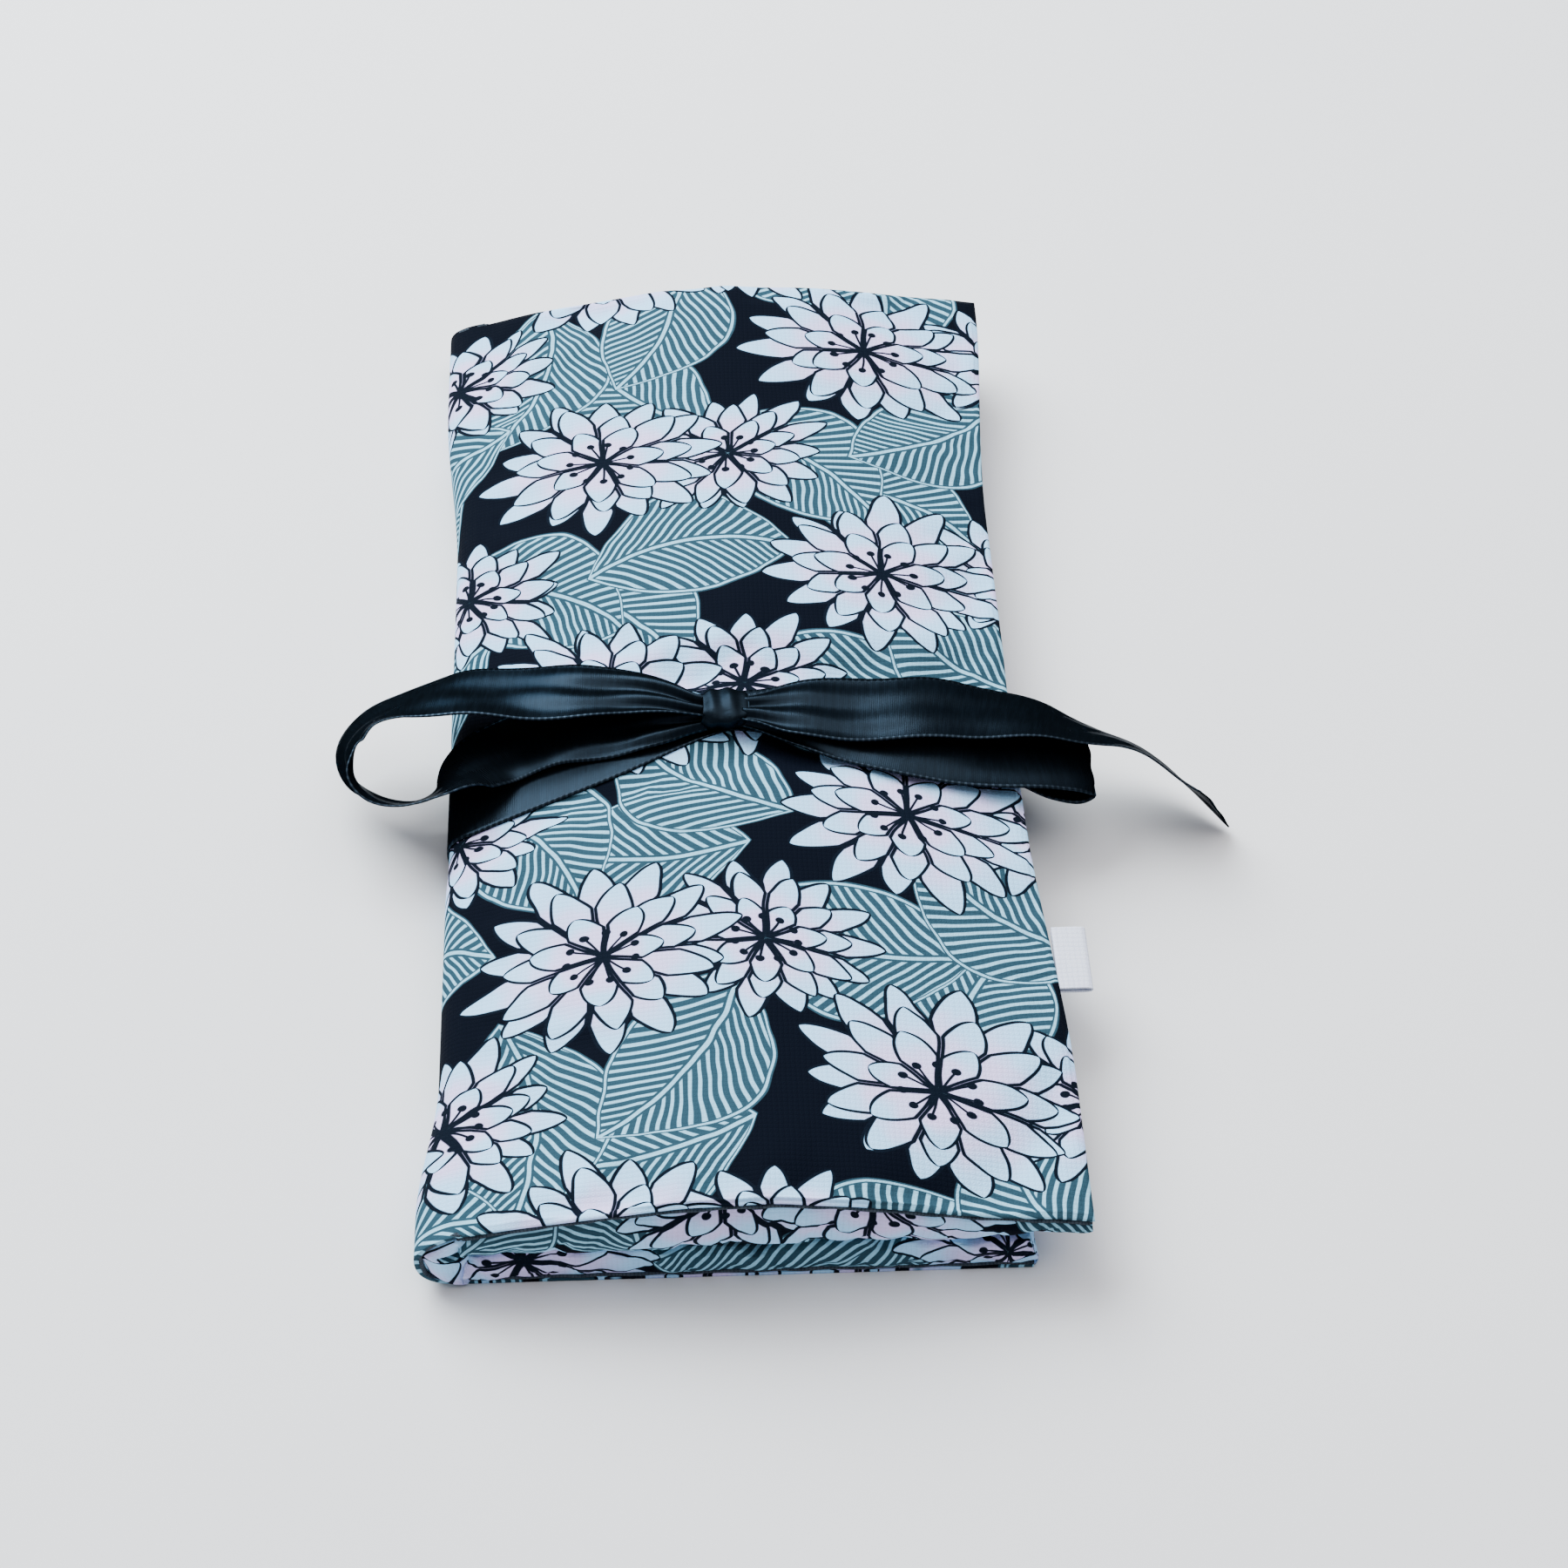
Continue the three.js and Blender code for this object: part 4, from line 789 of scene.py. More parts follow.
def moulded_teeth(name):
    """Dark moulded nylon: faintly mottled, with a soft gloss on its worn tops."""
    material, w, shader = new_material(name, (0.016, 0.022, 0.032), 0.42)
    mottle = w.noise(w.object_place(), 900.0, 3.0)
    tone = w.blend(mottle, (0.012, 0.017, 0.025, 1.0), (0.028, 0.036, 0.048, 1.0))
    w.fill(shader, Base_Color=tone, Roughness=mottle * 0.2 + 0.46, Specular_IOR_Level=0.25)
    w.bump(shader, mottle, 0.03, 0.4)
    return material


# The second colour is the painted highlight on the lining's raised threads, and the tone of its lighter
# slubs.
DARK, DARK_HIGHLIGHT_AND_SLUB = (0.012, 0.017, 0.026), (0.040, 0.052, 0.072)
SATIN = satin_ribbon()
LINING = dyed_cloth("dark lining", DARK, DARK_HIGHLIGHT_AND_SLUB, 0.5)
TAPE = dyed_cloth("zip tape", (0.010, 0.015, 0.023), (0.030, 0.040, 0.055), 0.8)
LABEL = dyed_cloth("label tape", (0.60, 0.64, 0.78), (0.74, 0.78, 0.90), 0.45, 0.8)
# Painted shade: the seam round the edge is near-black, standing for the shadow in the crease where it turns
# in.
SEAM_WITH_PAINTED_SHADOW = dyed_cloth("seam with painted shadow", (0.016, 0.024, 0.036), (0.06, 0.08, 0.10), 0.3)
BAR_CLOTH = dyed_cloth("ring bar cloth", DARK, DARK_HIGHLIGHT_AND_SLUB, 0.5, 0.85, on_object=True)
STITCH = dyed_cloth("stitching", (0.11, 0.14, 0.18), (0.27, 0.32, 0.38), 0.5, 0.85, on_object=True)
METAL = plated_metal("plated metal", (0.118, 0.122, 0.129), (0.077, 0.078, 0.082))
TEETH = moulded_teeth("moulded teeth")
print("finishes:", len(bpy.data.materials))

# %% [markdown]
# ## The outer cloth
# One piece of printed cotton goes from the cover's free edge over the top, round the fold and back
# under the pouch. It could be three separate skins, but then the print would break at each joint, so
# it is one sheet. Its rows walk along that path and its columns along the length.

# %% The path of the outer cloth
def curve_through(a, b, c, d, t):
    """A cubic curve with end points a and d and handles b and c."""
    t = t[..., None]
    a, b, c, d = (np.asarray(p, float) for p in (a, b, c, d))
    return a * (1 - t) ** 3 + 3 * b * t * (1 - t) ** 2 + 3 * c * t**2 * (1 - t) + d * t**3


SPINE_UPPER = ((START_X - SEAM_GAP, crown(START_X)), (-49.7, 12.2), (FOLD_X, 10.8), (FOLD_X, 7.4))
SPINE_LOWER = ((FOLD_X, 7.4), (FOLD_X, 3.4), (-52.2, 0), (START_X - SEAM_GAP, 0))


def spine_at(t, y):
    """The outside of the fold, t from 0 at the cover to 1 at the back: two cubic curves that meet at the
    widest point, pressed in by the ribbon and drawn in by the waist."""
    t, y = np.broadcast_arrays(t, y)
    upper = curve_through(*SPINE_UPPER, np.clip(t * 2, 0, 1))
    lower = curve_through(*SPINE_LOWER, np.clip(t * 2 - 1, 0, 1))
    base = np.where((t < 0.5)[..., None], upper, lower)
    amount = np.where(t < 0.5, mix(PINCH, SPINE_PINCH, t * 2), mix(SPINE_PINCH, GROOVE, t * 2 - 1))
    pull = amount * squeeze(y, mix(band_y(START_X), under_y(START_X), t))
    angle = math.pi * (t - 0.5)
    x = base[..., 0] + fold_waist(y) * np.sin(math.pi * t) + np.cos(angle) * pull
    rise = end_rise(START_X, y) * (1 - smooth(t * 2.2))
    return np.stack([x, base[..., 1] + rise + np.sin(angle) * pull], axis=-1)


def rolled(distance, reach=1.3, depth=0.5):
    """How far a sewn edge rolls down: a quarter round over its last reach millimetres."""
    inside = np.clip(1 - distance / reach, 0, 1)
    return depth * (1 - np.sqrt(1 - inside**2 * 0.999))


def puckers(x, y):
    """Small folds that the ribbon pulls into the cloth, fading away from it, and slow dents all over."""
    away = np.abs(y - band_y(x)) - FLAT_BED
    near = np.where(away > 0, np.exp(-np.maximum(away, 0) / 13), 0) * smooth(away / 4)
    fan = np.sin((x - KNOT_X) * 0.42 * np.exp(-np.abs(y - KNOT_Y) / 120) + np.sin(y * 0.05) * 1.3)
    slow = np.sin(x * 0.061 + y * 0.033 + 0.7) * np.sin(y * 0.047 - x * 0.021 + 1.9)
    ruffle = np.sin(x * 0.31 + np.sin(x * 0.11) * 1.5) * smooth((np.abs(y) - 92) / 15)
    return 0.34 * near * fan + 0.32 * slow * smooth(away / 20) + 0.16 * ruffle


def groove_bed(x, y):
    """How deep the ribbon lies in the back's underside: level across the ribbon, with steep sides."""
    return GROOVE * smooth((FLAT_BED + 1.2 - np.abs(y - under_y(x))) / 1.2)


ROLLED_EDGE = 1.4
ALONG = spread(-HALF, HALF, 150, ROLLED_EDGE * quarter(8))
EDGE_ROWS = EDGE_X - ROLLED_EDGE * quarter(7)[:-1]
COVER_ROWS = np.concatenate([EDGE_ROWS, np.linspace(EDGE_X - ROLLED_EDGE, START_X, 74)])


def outer_points():
    """Rows from the cover's free edge to the fold, round it, and on to the back's free edge."""
    x, y = grid(COVER_ROWS, ALONG)
    edge = np.maximum(rolled(EDGE_X - x), rolled(HALF - np.abs(y)))
    lift = puckers(x, y) * smooth((x - START_X) / 12) * smooth((EDGE_X - x) / 6)
    cover = xyz(cover_x(x, y), y, cover_top(x, y) - edge + lift)
    t, y = grid(np.linspace(0, 1, 42)[1:-1], ALONG)
    bend = spine_at(t, y)
    fold = xyz(bend[..., 0], y, bend[..., 1])
    x, y = grid(np.linspace(START_X, BACK_X, 36), ALONG)
    return np.concatenate([cover, fold, xyz(x, y, groove_bed(x, y) + 0.02)])


def settle_cover(points):
    """Settles the part over the cover, held at its three seams, at the fold and under the ribbon."""
    rows = len(COVER_ROWS)
    coarse = points[:rows:2, ::2]
    x, y = coarse[..., 0], coarse[..., 1]
    held = (np.abs(y) > HALF - 0.9) | (np.abs(y - band_y(x)) < FLAT_BED + 1) | (x < START_X + 1.5)
    held[:3] = True
    moves = settled(coarse, held, 0.6, 0.010, 1.1, (0, 0, 1)) - coarse
    points[:rows] += between(moves, (rows, points.shape[1]))
    return points


outer_grid = settle_cover(outer_points())
print("outer cloth grid:", outer_grid.shape)

# %% Sew the outer cloth
outer_cloth = sheet_mesh("outer_cloth", outer_grid, PRINT, (-1, 0, 0), corner=(3.0, 7.0))
dress(outer_cloth, None, "cover_outer", "spine_fabric", "back_outer")

# %% [markdown]
# ## The padded panels
# Under the outer cloth each panel is wadding with a printed lining sewn round it. The lining is what
# shows at the two ends, where it swells out between the seam above and the other panel. Its face is one
# grid over the panel: the distance to the nearest edge says how far it has turned up into the wall,
# along a quarter round.

# %% The two padded panels
SEAM_RECESS, WALL_DROP = 0.9, 0.8
FREE_INSET, FREE_ROUND = 0.3, 1.6
WALL_COLUMNS = 24


def wall_turn(distance, width):
    """0 at the rim and 1 once distance passes width, on a squared round: the fourth powers of both add
    up to 1."""
    t = 1 - np.clip(distance / width, 0, 1)
    return (1 - t**4) ** 0.25


def swell(points, y, turned, amount):
    """Pushes an end wall's middle outwards, unevenly, as wadding does, and draws its top in to the seam."""
    x = points[..., 0]
    uneven = 1 + 0.30 * np.sin(x * 0.27 + np.sin(x * 0.09) * 2) + 0.12 * np.sin(x * 0.9 + 1)
    out = amount * uneven * np.sin(math.pi * turned**0.8) - SEAM_RECESS * (1 - turned) ** 4
    points[..., 1] += np.sign(y) * out
    return points


def settle_ends(face):
    """Settles a cushion's two end walls, held at the seam, at both sides and where they reach the lining."""
    for part, outward in ((slice(0, WALL_COLUMNS), (0, -1, 0)), (slice(-WALL_COLUMNS, None), (0, 1, 0))):
        wall = face[:, part]
        held = np.zeros(wall.shape[:2], bool)
        held[:3] = held[-3:] = held[:, :2] = held[:, -2:] = True
        face[:, part] = settled(wall, held, 1.5, 0.02, 0.8, outward)
    return face


def drawn_in(y):
    """The hidden back of a padded form, a little shorter than its face, so the seam lies in a recess."""
    return y * (1 - SEAM_RECESS / HALF)


def cover_cushion_points():
    """The lining's face and the wadding's hidden top, as two grids of one shape."""
    fold_wall = START_X + COVER_WALL * WALL[:-1]
    level = np.linspace(START_X + COVER_WALL, EDGE_X - FREE_INSET - FREE_ROUND, 62)
    free_wall = EDGE_X - FREE_INSET - FREE_ROUND * quarter(6)[:-1]
    rows = np.concatenate([fold_wall, level, free_wall[::-1]])
    x, y = grid(rows, spread(-HALF, HALF, 130, COVER_WALL * WALL))
    ends, fold = wall_turn(HALF - np.abs(y), COVER_WALL), wall_turn(x - START_X, COVER_WALL)
    rim = cover_top(x, y) - FABRIC - 0.75
    low = cover_under(x, y) + 0.12 * np.sin(x * 0.23 + y * 0.05) * np.sin(y * 0.11)
    low = low - WALL_DROP * end_border(y) - 1.2 * smooth((x - 44) / 8) * (1 - squeeze(y, KNOT_Y))
    low = low + 1.7 * np.clip(1 - (EDGE_X - FREE_INSET - x) / FREE_ROUND, 0, 1) ** 2
    face = swell(xyz(cover_x(x, y), y, mix(rim, low, np.minimum(ends, fold))), y, ends, 1.2)
    face = settle_ends(face)
    top = cover_top(x, y) - FABRIC - 0.6 - np.maximum(rolled(EDGE_X - x), rolled(HALF - np.abs(y)))
    return face, xyz(cover_x(x, y), drawn_in(y), np.maximum(top, face[..., 2] + 0.05))


def back_upper(x, y):
    """The back's upper surface: low under the pockets, higher at the ends and along the free edge."""
    side = smooth((x - (BACK_X - 6)) / 2)
    return mix(BACK_FLOOR_Z, BACK_BORDER_Z, np.maximum(side, end_border(y)))


def back_cushion_points():
    """The back's lining stands in walls on all sides, and its underside lies on the outer cloth."""
    x, y = grid(spread(START_X, BACK_X, 60, BACK_WALL * WALL), spread(-HALF, HALF, 130, BACK_WALL * WALL))
    ends, free, fold = (wall_turn(far, BACK_WALL) for far in (HALF - np.abs(y), BACK_X - x, x - START_X))
    bed = groove_bed(x, y)
    rim = FABRIC + 0.35 + bed
    high = back_upper(x, y) + 0.1 * np.sin(x * 0.19 - y * 0.06) * np.sin(y * 0.09) - 0.1
    high = high - WALL_DROP * end_border(y)
    face = swell(xyz(x, y, mix(rim, high, np.minimum(np.minimum(ends, free), fold))), y, ends, 0.9)
    face[..., 0] += 0.5 * np.sin(math.pi * free) * (x > 0)
    face = settle_ends(face)
    return face, xyz(x, drawn_in(y), np.minimum(FABRIC + 0.2 + bed, face[..., 2] - 0.05))


cover_cushion = padded_mesh("cover_cushion", *cover_cushion_points(), PRINT, corner=(61.0, 30.0))
dress(cover_cushion, "cover", "cover_lining", "cover_wadding")
back_cushion = padded_mesh("back_cushion", *back_cushion_points(), PRINT, corner=(118.0, 81.0))
dress(back_cushion, "back", "back_lining", "back_wadding")
print("cushions have", len(cover_cushion.data.polygons), "and", len(back_cushion.data.polygons), "faces")

# %% The padding inside the fold
CREASE_Z, CREASE_DEPTH, CREASE_WIDTH = 9.4, 4.2, 1.1


def fold_padding_points():
    """From under the outer cloth to an inner face that a crease, a bell curve in the height, parts in two."""
    t, y = grid(np.linspace(0, 1, 44), spread(-HALF, HALF, 110, FOLD_WALL * WALL))
    at = spine_at(mix(0.04, 0.97, t), y)
    hidden = at - unit(at - (START_X, 6.5)) * (FABRIC + 0.35)
    x, z = hidden[..., 0], hidden[..., 1]
    crease = CREASE_DEPTH * (1 - fold_waist(y) / 6) * np.exp(-(((z - CREASE_Z) / CREASE_WIDTH) ** 2))
    inner_x = np.maximum(START_X + 1.6 - crease, x + 0.2)
    turned = wall_turn(HALF - np.abs(y), FOLD_WALL)
    return swell(xyz(mix(x, inner_x, turned), y, z), y, turned, 0.8), xyz(x, drawn_in(y), z)


fold_padding = padded_mesh("fold_padding", *fold_padding_points(), PRINT, corner=(12.0, 36.0))
dress(fold_padding, None, "spine_lining")

# %% The seam round the edge
SEAM_SIDES = 10
SEAM_DROP = 0.75 + FABRIC


def loop_tube(name, path, wide, tall, material):
    """A closed tube round a closed path. wide and tall are its half width and half height at each place."""
    ahead = unit(np.roll(path, -1, axis=0) - np.roll(path, 1, axis=0))
    side = np.cross(ahead, (0.0, 0.0, 1.0)) + np.cross(ahead, (-1.0, 0.0, 0.0)) * np.abs(ahead[:, 2:]) ** 8
    side = unit(side)
    up = np.cross(side, ahead)
    angle = around(SEAM_SIDES)
    c, s = np.cos(angle)[None, :, None], np.sin(angle)[None, :, None]
    rings = path[:, None] + side[:, None] * c * wide[:, None, None] + up[:, None] * s * tall[:, None, None]
    flat = rings.reshape(-1, 3)
    faces = grid_faces(len(path) + 1, SEAM_SIDES, ring=True) % len(flat)
    faces = faces[:, ::-1] if volume(flat, faces) < 0 else faces
    lengths = walked(np.concatenate([path, path[:1]]))[1:]
    return make_mesh(name, flat, faces, material, np.stack(grid(lengths, angle), axis=-1) / 100)


def seam_path():
    """Once round the folded edge: near end, the cover's free edge, far end, the fold, and the back's three
    sides."""
    end, inner = HALF - 0.45, EDGE_X - 0.5
    x = np.linspace(START_X, EDGE_X - 0.7, 150)
    near = xyz(cover_x(x, -HALF), -end, cover_top(x, -HALF) - SEAM_DROP)
    far = xyz(cover_x(x, HALF), end, cover_top(x, HALF) - SEAM_DROP)[::-1]
    y = np.linspace(-end, end, 200)[1:-1]
    free = xyz(cover_x(inner, y), y, cover_top(inner, y) - SEAM_DROP)
    t = np.linspace(0.02, 0.98, 60)
    fold_far, fold_near = (xyz(spine_at(t, at)[:, 0] + 0.9, at, spine_at(t, at)[:, 1]) for at in (end, -end))
    x = np.linspace(START_X, BACK_X - 0.2, 120)
    low_far, low_near = xyz(x, end, 1.15), xyz(x, -end, 1.15)[::-1]
    side = xyz(BACK_X - 0.15, -y, 1.15)
    path = np.concatenate([near, free, far, fold_far, low_far, side, low_near, fold_near[::-1]])
    return path[np.append(True, np.linalg.norm(np.diff(path, axis=0), axis=1) > 0.02)]


seam = seam_path()
seam_length = walked(seam)
ruffle = np.sin(seam_length * 1.15 + 2.0 * np.sin(seam_length * 0.13))
seam[:, 2] += 0.10 * ruffle
seam_width = 0.42 + 0.10 * np.sin(seam_length * 0.7)
# A real seam runs here, but its near-black colour is painted shade for the shadow of its crease.
edge_seam = loop_tube("edge_seam", seam, seam_width, 0.42 + 0.12 * ruffle, SEAM_WITH_PAINTED_SHADOW)
dress(edge_seam, None)
print("seam round the edge:", round(float(seam_length[-1])), "mm")

# %% [markdown]
# ## Strips of cloth
# The pocket fronts, the bindings, the zip tapes and the label are all strips: a
# profile drawn in X and Z and carried along Y. One function makes them, and rounds the profile by
# walking a smooth curve through its corners.

# %% Strips carried along the length
def through(points, count, rounding=0.35):
    """A smooth walk through corner points: evenly spaced along the corners, then each place is mixed with its
    neighbours, so corners round over while straight runs stay straight."""
    points = np.asarray(points, float)
    steps = walked(points)
    at = np.linspace(0, steps[-1], count)
    walk = np.stack([np.interp(at, steps, points[:, k]) for k in range(points.shape[1])], axis=-1)
    for _ in range(int(rounding * 10)):
        walk[1:-1] = walk[1:-1] * 0.5 + (walk[:-2] + walk[2:]) * 0.25
    return walk


def rippled(y, y0, y1, ripple):
    """A faint ripple along a strip from y0 to y1: a short wave times a long one, still at both ends."""
    ends = smooth((y - y0) / 6) * smooth((y1 - y) / 6)
    return ripple * np.sin(y * 0.17 + 0.6) * np.sin(y * 0.043 + 2.1) * ends


UP, DOWN = (0, 0, 1), (0, 0, -1)


def strip(name, corners, ends, material, body, replaced, thickness=0.6, count=14, rounding=0.35,
          ripple=0.0, outward=UP, offset=-1.0):
    """Carries a profile of (x, z) corners from one end to the other, as a strip of cloth that rides on a
    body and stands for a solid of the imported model."""
    profile = through(corners, count, rounding)
    y = np.linspace(*ends, 70)
    points = xyz(profile[:, :1], y, profile[:, 1:] + rippled(y, *ends, ripple))
    made = sheet_mesh(name, points, material, outward, thickness=thickness, offset=offset)
    dress(made, body, replaced)
    return made


ZIP_X = {"back": 25.5, "cover": -20.0}
ZIP_Z = {"back": 7.0, "cover": 10.7}
OVER_TAPE = ZIP_Z["back"] + 0.3 + SEAM_GAP
UNDER_TAPE = ZIP_Z["cover"] - 0.3 - SEAM_GAP
OVER, UNDER = OVER_TAPE + 0.6, UNDER_TAPE - 0.7
SEWN = BACK_FLOOR_Z + SEAM_GAP
INNER_ENDS = (-93.0, 93.0)
BACK_OUTER_ENDS = (-93.2, 93.2)
COVER_OUTER_ENDS = (-91.7, 91.7)
SLIP_ENDS = (-(POCKET_END + 0.2), POCKET_END + 0.2)
TAPE_ENDS = (-(POCKET_END + 0.3), POCKET_END + 0.3)

strip("back_zip_pocket_inner", [(7, SEWN + 0.6), (9.5, SEWN + 1.9), (12.4, OVER), (20.3, OVER)], INNER_ENDS,
      LINING, "back", "back_pocket_front_inner", ripple=0.1)
strip("back_zip_pocket_outer", [(30.7, OVER), (41.2, OVER)], BACK_OUTER_ENDS, LINING, "back",
      "back_pocket_front_outer", ripple=0.06)
strip("back_slip_pocket_cloth", [(-42.2, SEWN + 0.5), (-25, SEWN + 0.8), (-8, SEWN + 1.1)], SLIP_ENDS,
      LINING, "back", "back_slip_pocket", thickness=0.5, count=28, ripple=0.12)
strip("cover_zip_pocket_inner",
      [(-3, UNDER_TAPE + 3.2), (-5, UNDER_TAPE + 1.2), (-7.1, UNDER), (-14.8, UNDER)],
      INNER_ENDS, LINING, "cover", "cover_pocket_front_inner", outward=DOWN, ripple=0.08)
strip("cover_zip_pocket_outer", [(-40.2, UNDER), (-25.2, UNDER)], COVER_OUTER_ENDS, LINING, "cover",
      "cover_pocket_front_outer", outward=DOWN, ripple=0.06)

# %% The cover's slip pocket, which hangs a little open
def hanging_points():
    """Follows the padded underside a little below it, and droops towards its free edge."""
    x, y = grid(np.linspace(10.2, 47, 34), np.linspace(*SLIP_ENDS, 90))
    droop = (0.8 + 0.1 * np.sin(y * 0.13)) * np.clip((41 - x) / 31, 0, 1)
    return xyz(cover_x(x, y), y, cover_under(x, y) - SEAM_GAP - droop - 0.5)


cover_slip = sheet_mesh("cover_slip_pocket_cloth", hanging_points(), LINING, DOWN, thickness=0.5)
dress(cover_slip, "cover", "cover_slip_pocket")

# %% Bindings, folded over the pockets' free edges
BACK_EDGE_Z = SEWN + 0.6
COVER_EDGE_Z = float(cover_under(10.0, 30.0)) - SEAM_GAP - 0.6 - 0.8
BINDINGS = {
    "back": ((0.0105, 0.1834), 26, [(-11, -0.42), (-7.1, -0.42), (-6.9, 0.3), (-7.1, 1.1), (-11, 1.1)]),
    "cover": ((0.0100, 0.1834), 24, [(12.9, -0.45), (9.2, -0.45), (8.95, 0.2), (9.2, 0.92), (11.4, 0.92)])}
for side, edge_z, outward in (("back", BACK_EDGE_Z, UP), ("cover", COVER_EDGE_Z, DOWN)):
    flat, count, profile = BINDINGS[side]
    strip(f"{side}_slip_binding", np.add(profile, (0, edge_z)), SLIP_ENDS, SATIN, side,
          f"{side}_slip_pocket_binding", thickness=0.3, count=count, rounding=0.2, outward=outward,
          offset=0.0)

# %% Side label: a short woven tape folded double, with its ends in the seam
LABEL_Y, LABEL_HALF = -56.5, 6.35
LABEL_X = EDGE_X + SEAM_GAP - float(waist(LABEL_Y))
LABEL_Z = float(crown(EDGE_X)) - 0.35
LABEL_PROFILE = [(0, -0.32), (5.6, -0.25), (6.2, -0.8), (5.6, -1.35), (0, -1.28)]
strip("side_label", np.add(LABEL_PROFILE, (LABEL_X, LABEL_Z)), (LABEL_Y - LABEL_HALF, LABEL_Y + LABEL_HALF),
      LABEL, "cover", "label", thickness=0.35, count=30, rounding=0.5, offset=0.0)

# %% [markdown]
# ## Zips
# Each zip has two woven tapes, two rows of moulded teeth, a slider with its pull and small stops. The
# tapes are flat strips that end beside the teeth. A real tooth is a small block with a
# rounded head, and there are over a hundred to a row, so one tooth with few faces is repeated along
# the row as one array. The slider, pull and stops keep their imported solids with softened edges.

# %% Tapes and teeth
TEETH_PITCH = 1.6
CHAIN_START, CHAIN_END = -85.0, 81.2
TOOTH = [(2.2, -0.42), (0.1, -0.42), (-0.75, -0.30), (-0.95, 0.0), (-0.75, 0.30), (0.1, 0.42), (2.2, 0.42)]
TOOTH_HALF, TOOTH_EDGE = 1.0, 0.8


def tooth_row(name, x, z, sign):
    """One tooth is its plan at four heights, a little smaller at the top and bottom. The row repeats it, and
    the other row's teeth lie half a pitch further on."""
    plan = np.array(TOOTH) * (sign, 1)
    edge = xyz(plan[:, 0], plan[:, 1], TOOTH_EDGE)
    top = xyz(plan[:, 0] * 0.98 + 0.02 * sign, plan[:, 1] * 0.86, TOOTH_HALF)
    tooth = np.concatenate([top * (1, 1, -1), edge * (1, 1, -1), edge, top])
    first = CHAIN_START + 0.9 + (TEETH_PITCH / 2 if sign > 0 else 0.0)
    places = xyz(x, np.arange(first, CHAIN_END - 0.5, TEETH_PITCH), z)
    return make_mesh(name, *repeated(tooth, len(TOOTH), places), TEETH, rounded=False)


def zip_chain(side, inner_sign):
    """Both tapes and both rows of one zip."""
    x, z = ZIP_X[side], ZIP_Z[side]
    for end, sign in (("inner", inner_sign), ("outer", -inner_sign)):
        strip(f"{side}_tape_{end}", [(x + sign * 2.7, z + 0.3), (x + sign * 12.7, z + 0.3)], TAPE_ENDS, TAPE,
              side, f"{side}_zip_tape_{end}", count=10)
        dress(tooth_row(f"{side}_teeth_{end}", x, z, sign), side, f"{side}_zip_teeth_{end}")


zip_chain("back", -1)
zip_chain("cover", 1)

# %% Metal parts
ZIP_METAL = ("bottom_stop", "top_stop_inner", "top_stop_outer", "slider", "pull")
METAL_NODES = [f"{side}_zip_{part}" for side in ("back", "cover") for part in ZIP_METAL]
METAL_NODES += ["snap_socket", "snap_stud"]
SHARP = math.radians(35)
for name in METAL_NODES:
    part = nodes[name]
    part.data.materials.clear()
    part.data.materials.append(METAL)
    part.data.polygons.foreach_set("use_smooth", [True] * len(part.data.polygons))
    part.data.set_sharp_from_angle(angle=SHARP)
    edge = part.modifiers.new("softened edges", "BEVEL")
    edge.harden_normals = True
    edge.width = 0.12 * MM
    edge.segments = 2
    edge.limit_method = "ANGLE"
    edge.angle_limit = SHARP
print("metal parts:", len(METAL_NODES))

# %% [markdown]
# ## The ring bar
# A stuffed tube that rings slide onto. Both ends are pressed flat: the far one is sewn under a small
# patch, the near one carries the snap. It is a loft whose rings go from a flat oval to a round one, with
# small gathers where the flat ends begin.

# %% Ring bar and its patch
SNAP_Y, ANCHOR_Y = -84.0, 85.0
BAR_STATIONS = np.array([
    (SNAP_Y - 5, 3.2, 0.55, 8.3), (SNAP_Y - 4.2, 4.6, 0.62, 8.3), (SNAP_Y + 4.2, 4.9, 0.62, 8.3),
    (SNAP_Y + 6, 4.3, 1.9, 8.25), (SNAP_Y + 8, 3.6, 2.9, 8.2), (SNAP_Y + 11, 3.3, 3.2, 8.2),
    (0, 3.25, 3.25, 8.2), (ANCHOR_Y - 17, 3.25, 3.2, 8.2), (ANCHOR_Y - 15, 3.6, 2.7, 7.8),
    (ANCHOR_Y - 13, 4.3, 1.9, 7.1), (ANCHOR_Y - 11, 4.9, 0.65, 5.65), (ANCHOR_Y, 4.9, 0.62, 5.62)])


def ring_bar_points():
    """Stations give the place along Y, the half width, half height and middle; each ring is an oval."""
    y = np.concatenate([np.linspace(SNAP_Y - 5, SNAP_Y + 12, 30), np.linspace(SNAP_Y + 14, ANCHOR_Y - 18, 60),
                        np.linspace(ANCHOR_Y - 17, ANCHOR_Y, 30)])[:, None]
    wide, tall, middle = (np.interp(y, BAR_STATIONS[:, 0], BAR_STATIONS[:, k]) for k in (1, 2, 3))
    angle = around(28)
    gathers = np.exp(-np.abs(y - (SNAP_Y + 9)) / 5) + np.exp(-np.abs(y - (ANCHOR_Y - 15)) / 5)
    crease = 1 + (0.05 * gathers + 0.006) * np.sin(angle * 9 + y * 0.15)
    size = crease * (1 + 0.012 * np.sin(y * 0.21) * np.sin(y * 0.57 + 1))
    return xyz(wide * size * np.cos(angle), y, middle + tall * size * np.sin(angle))


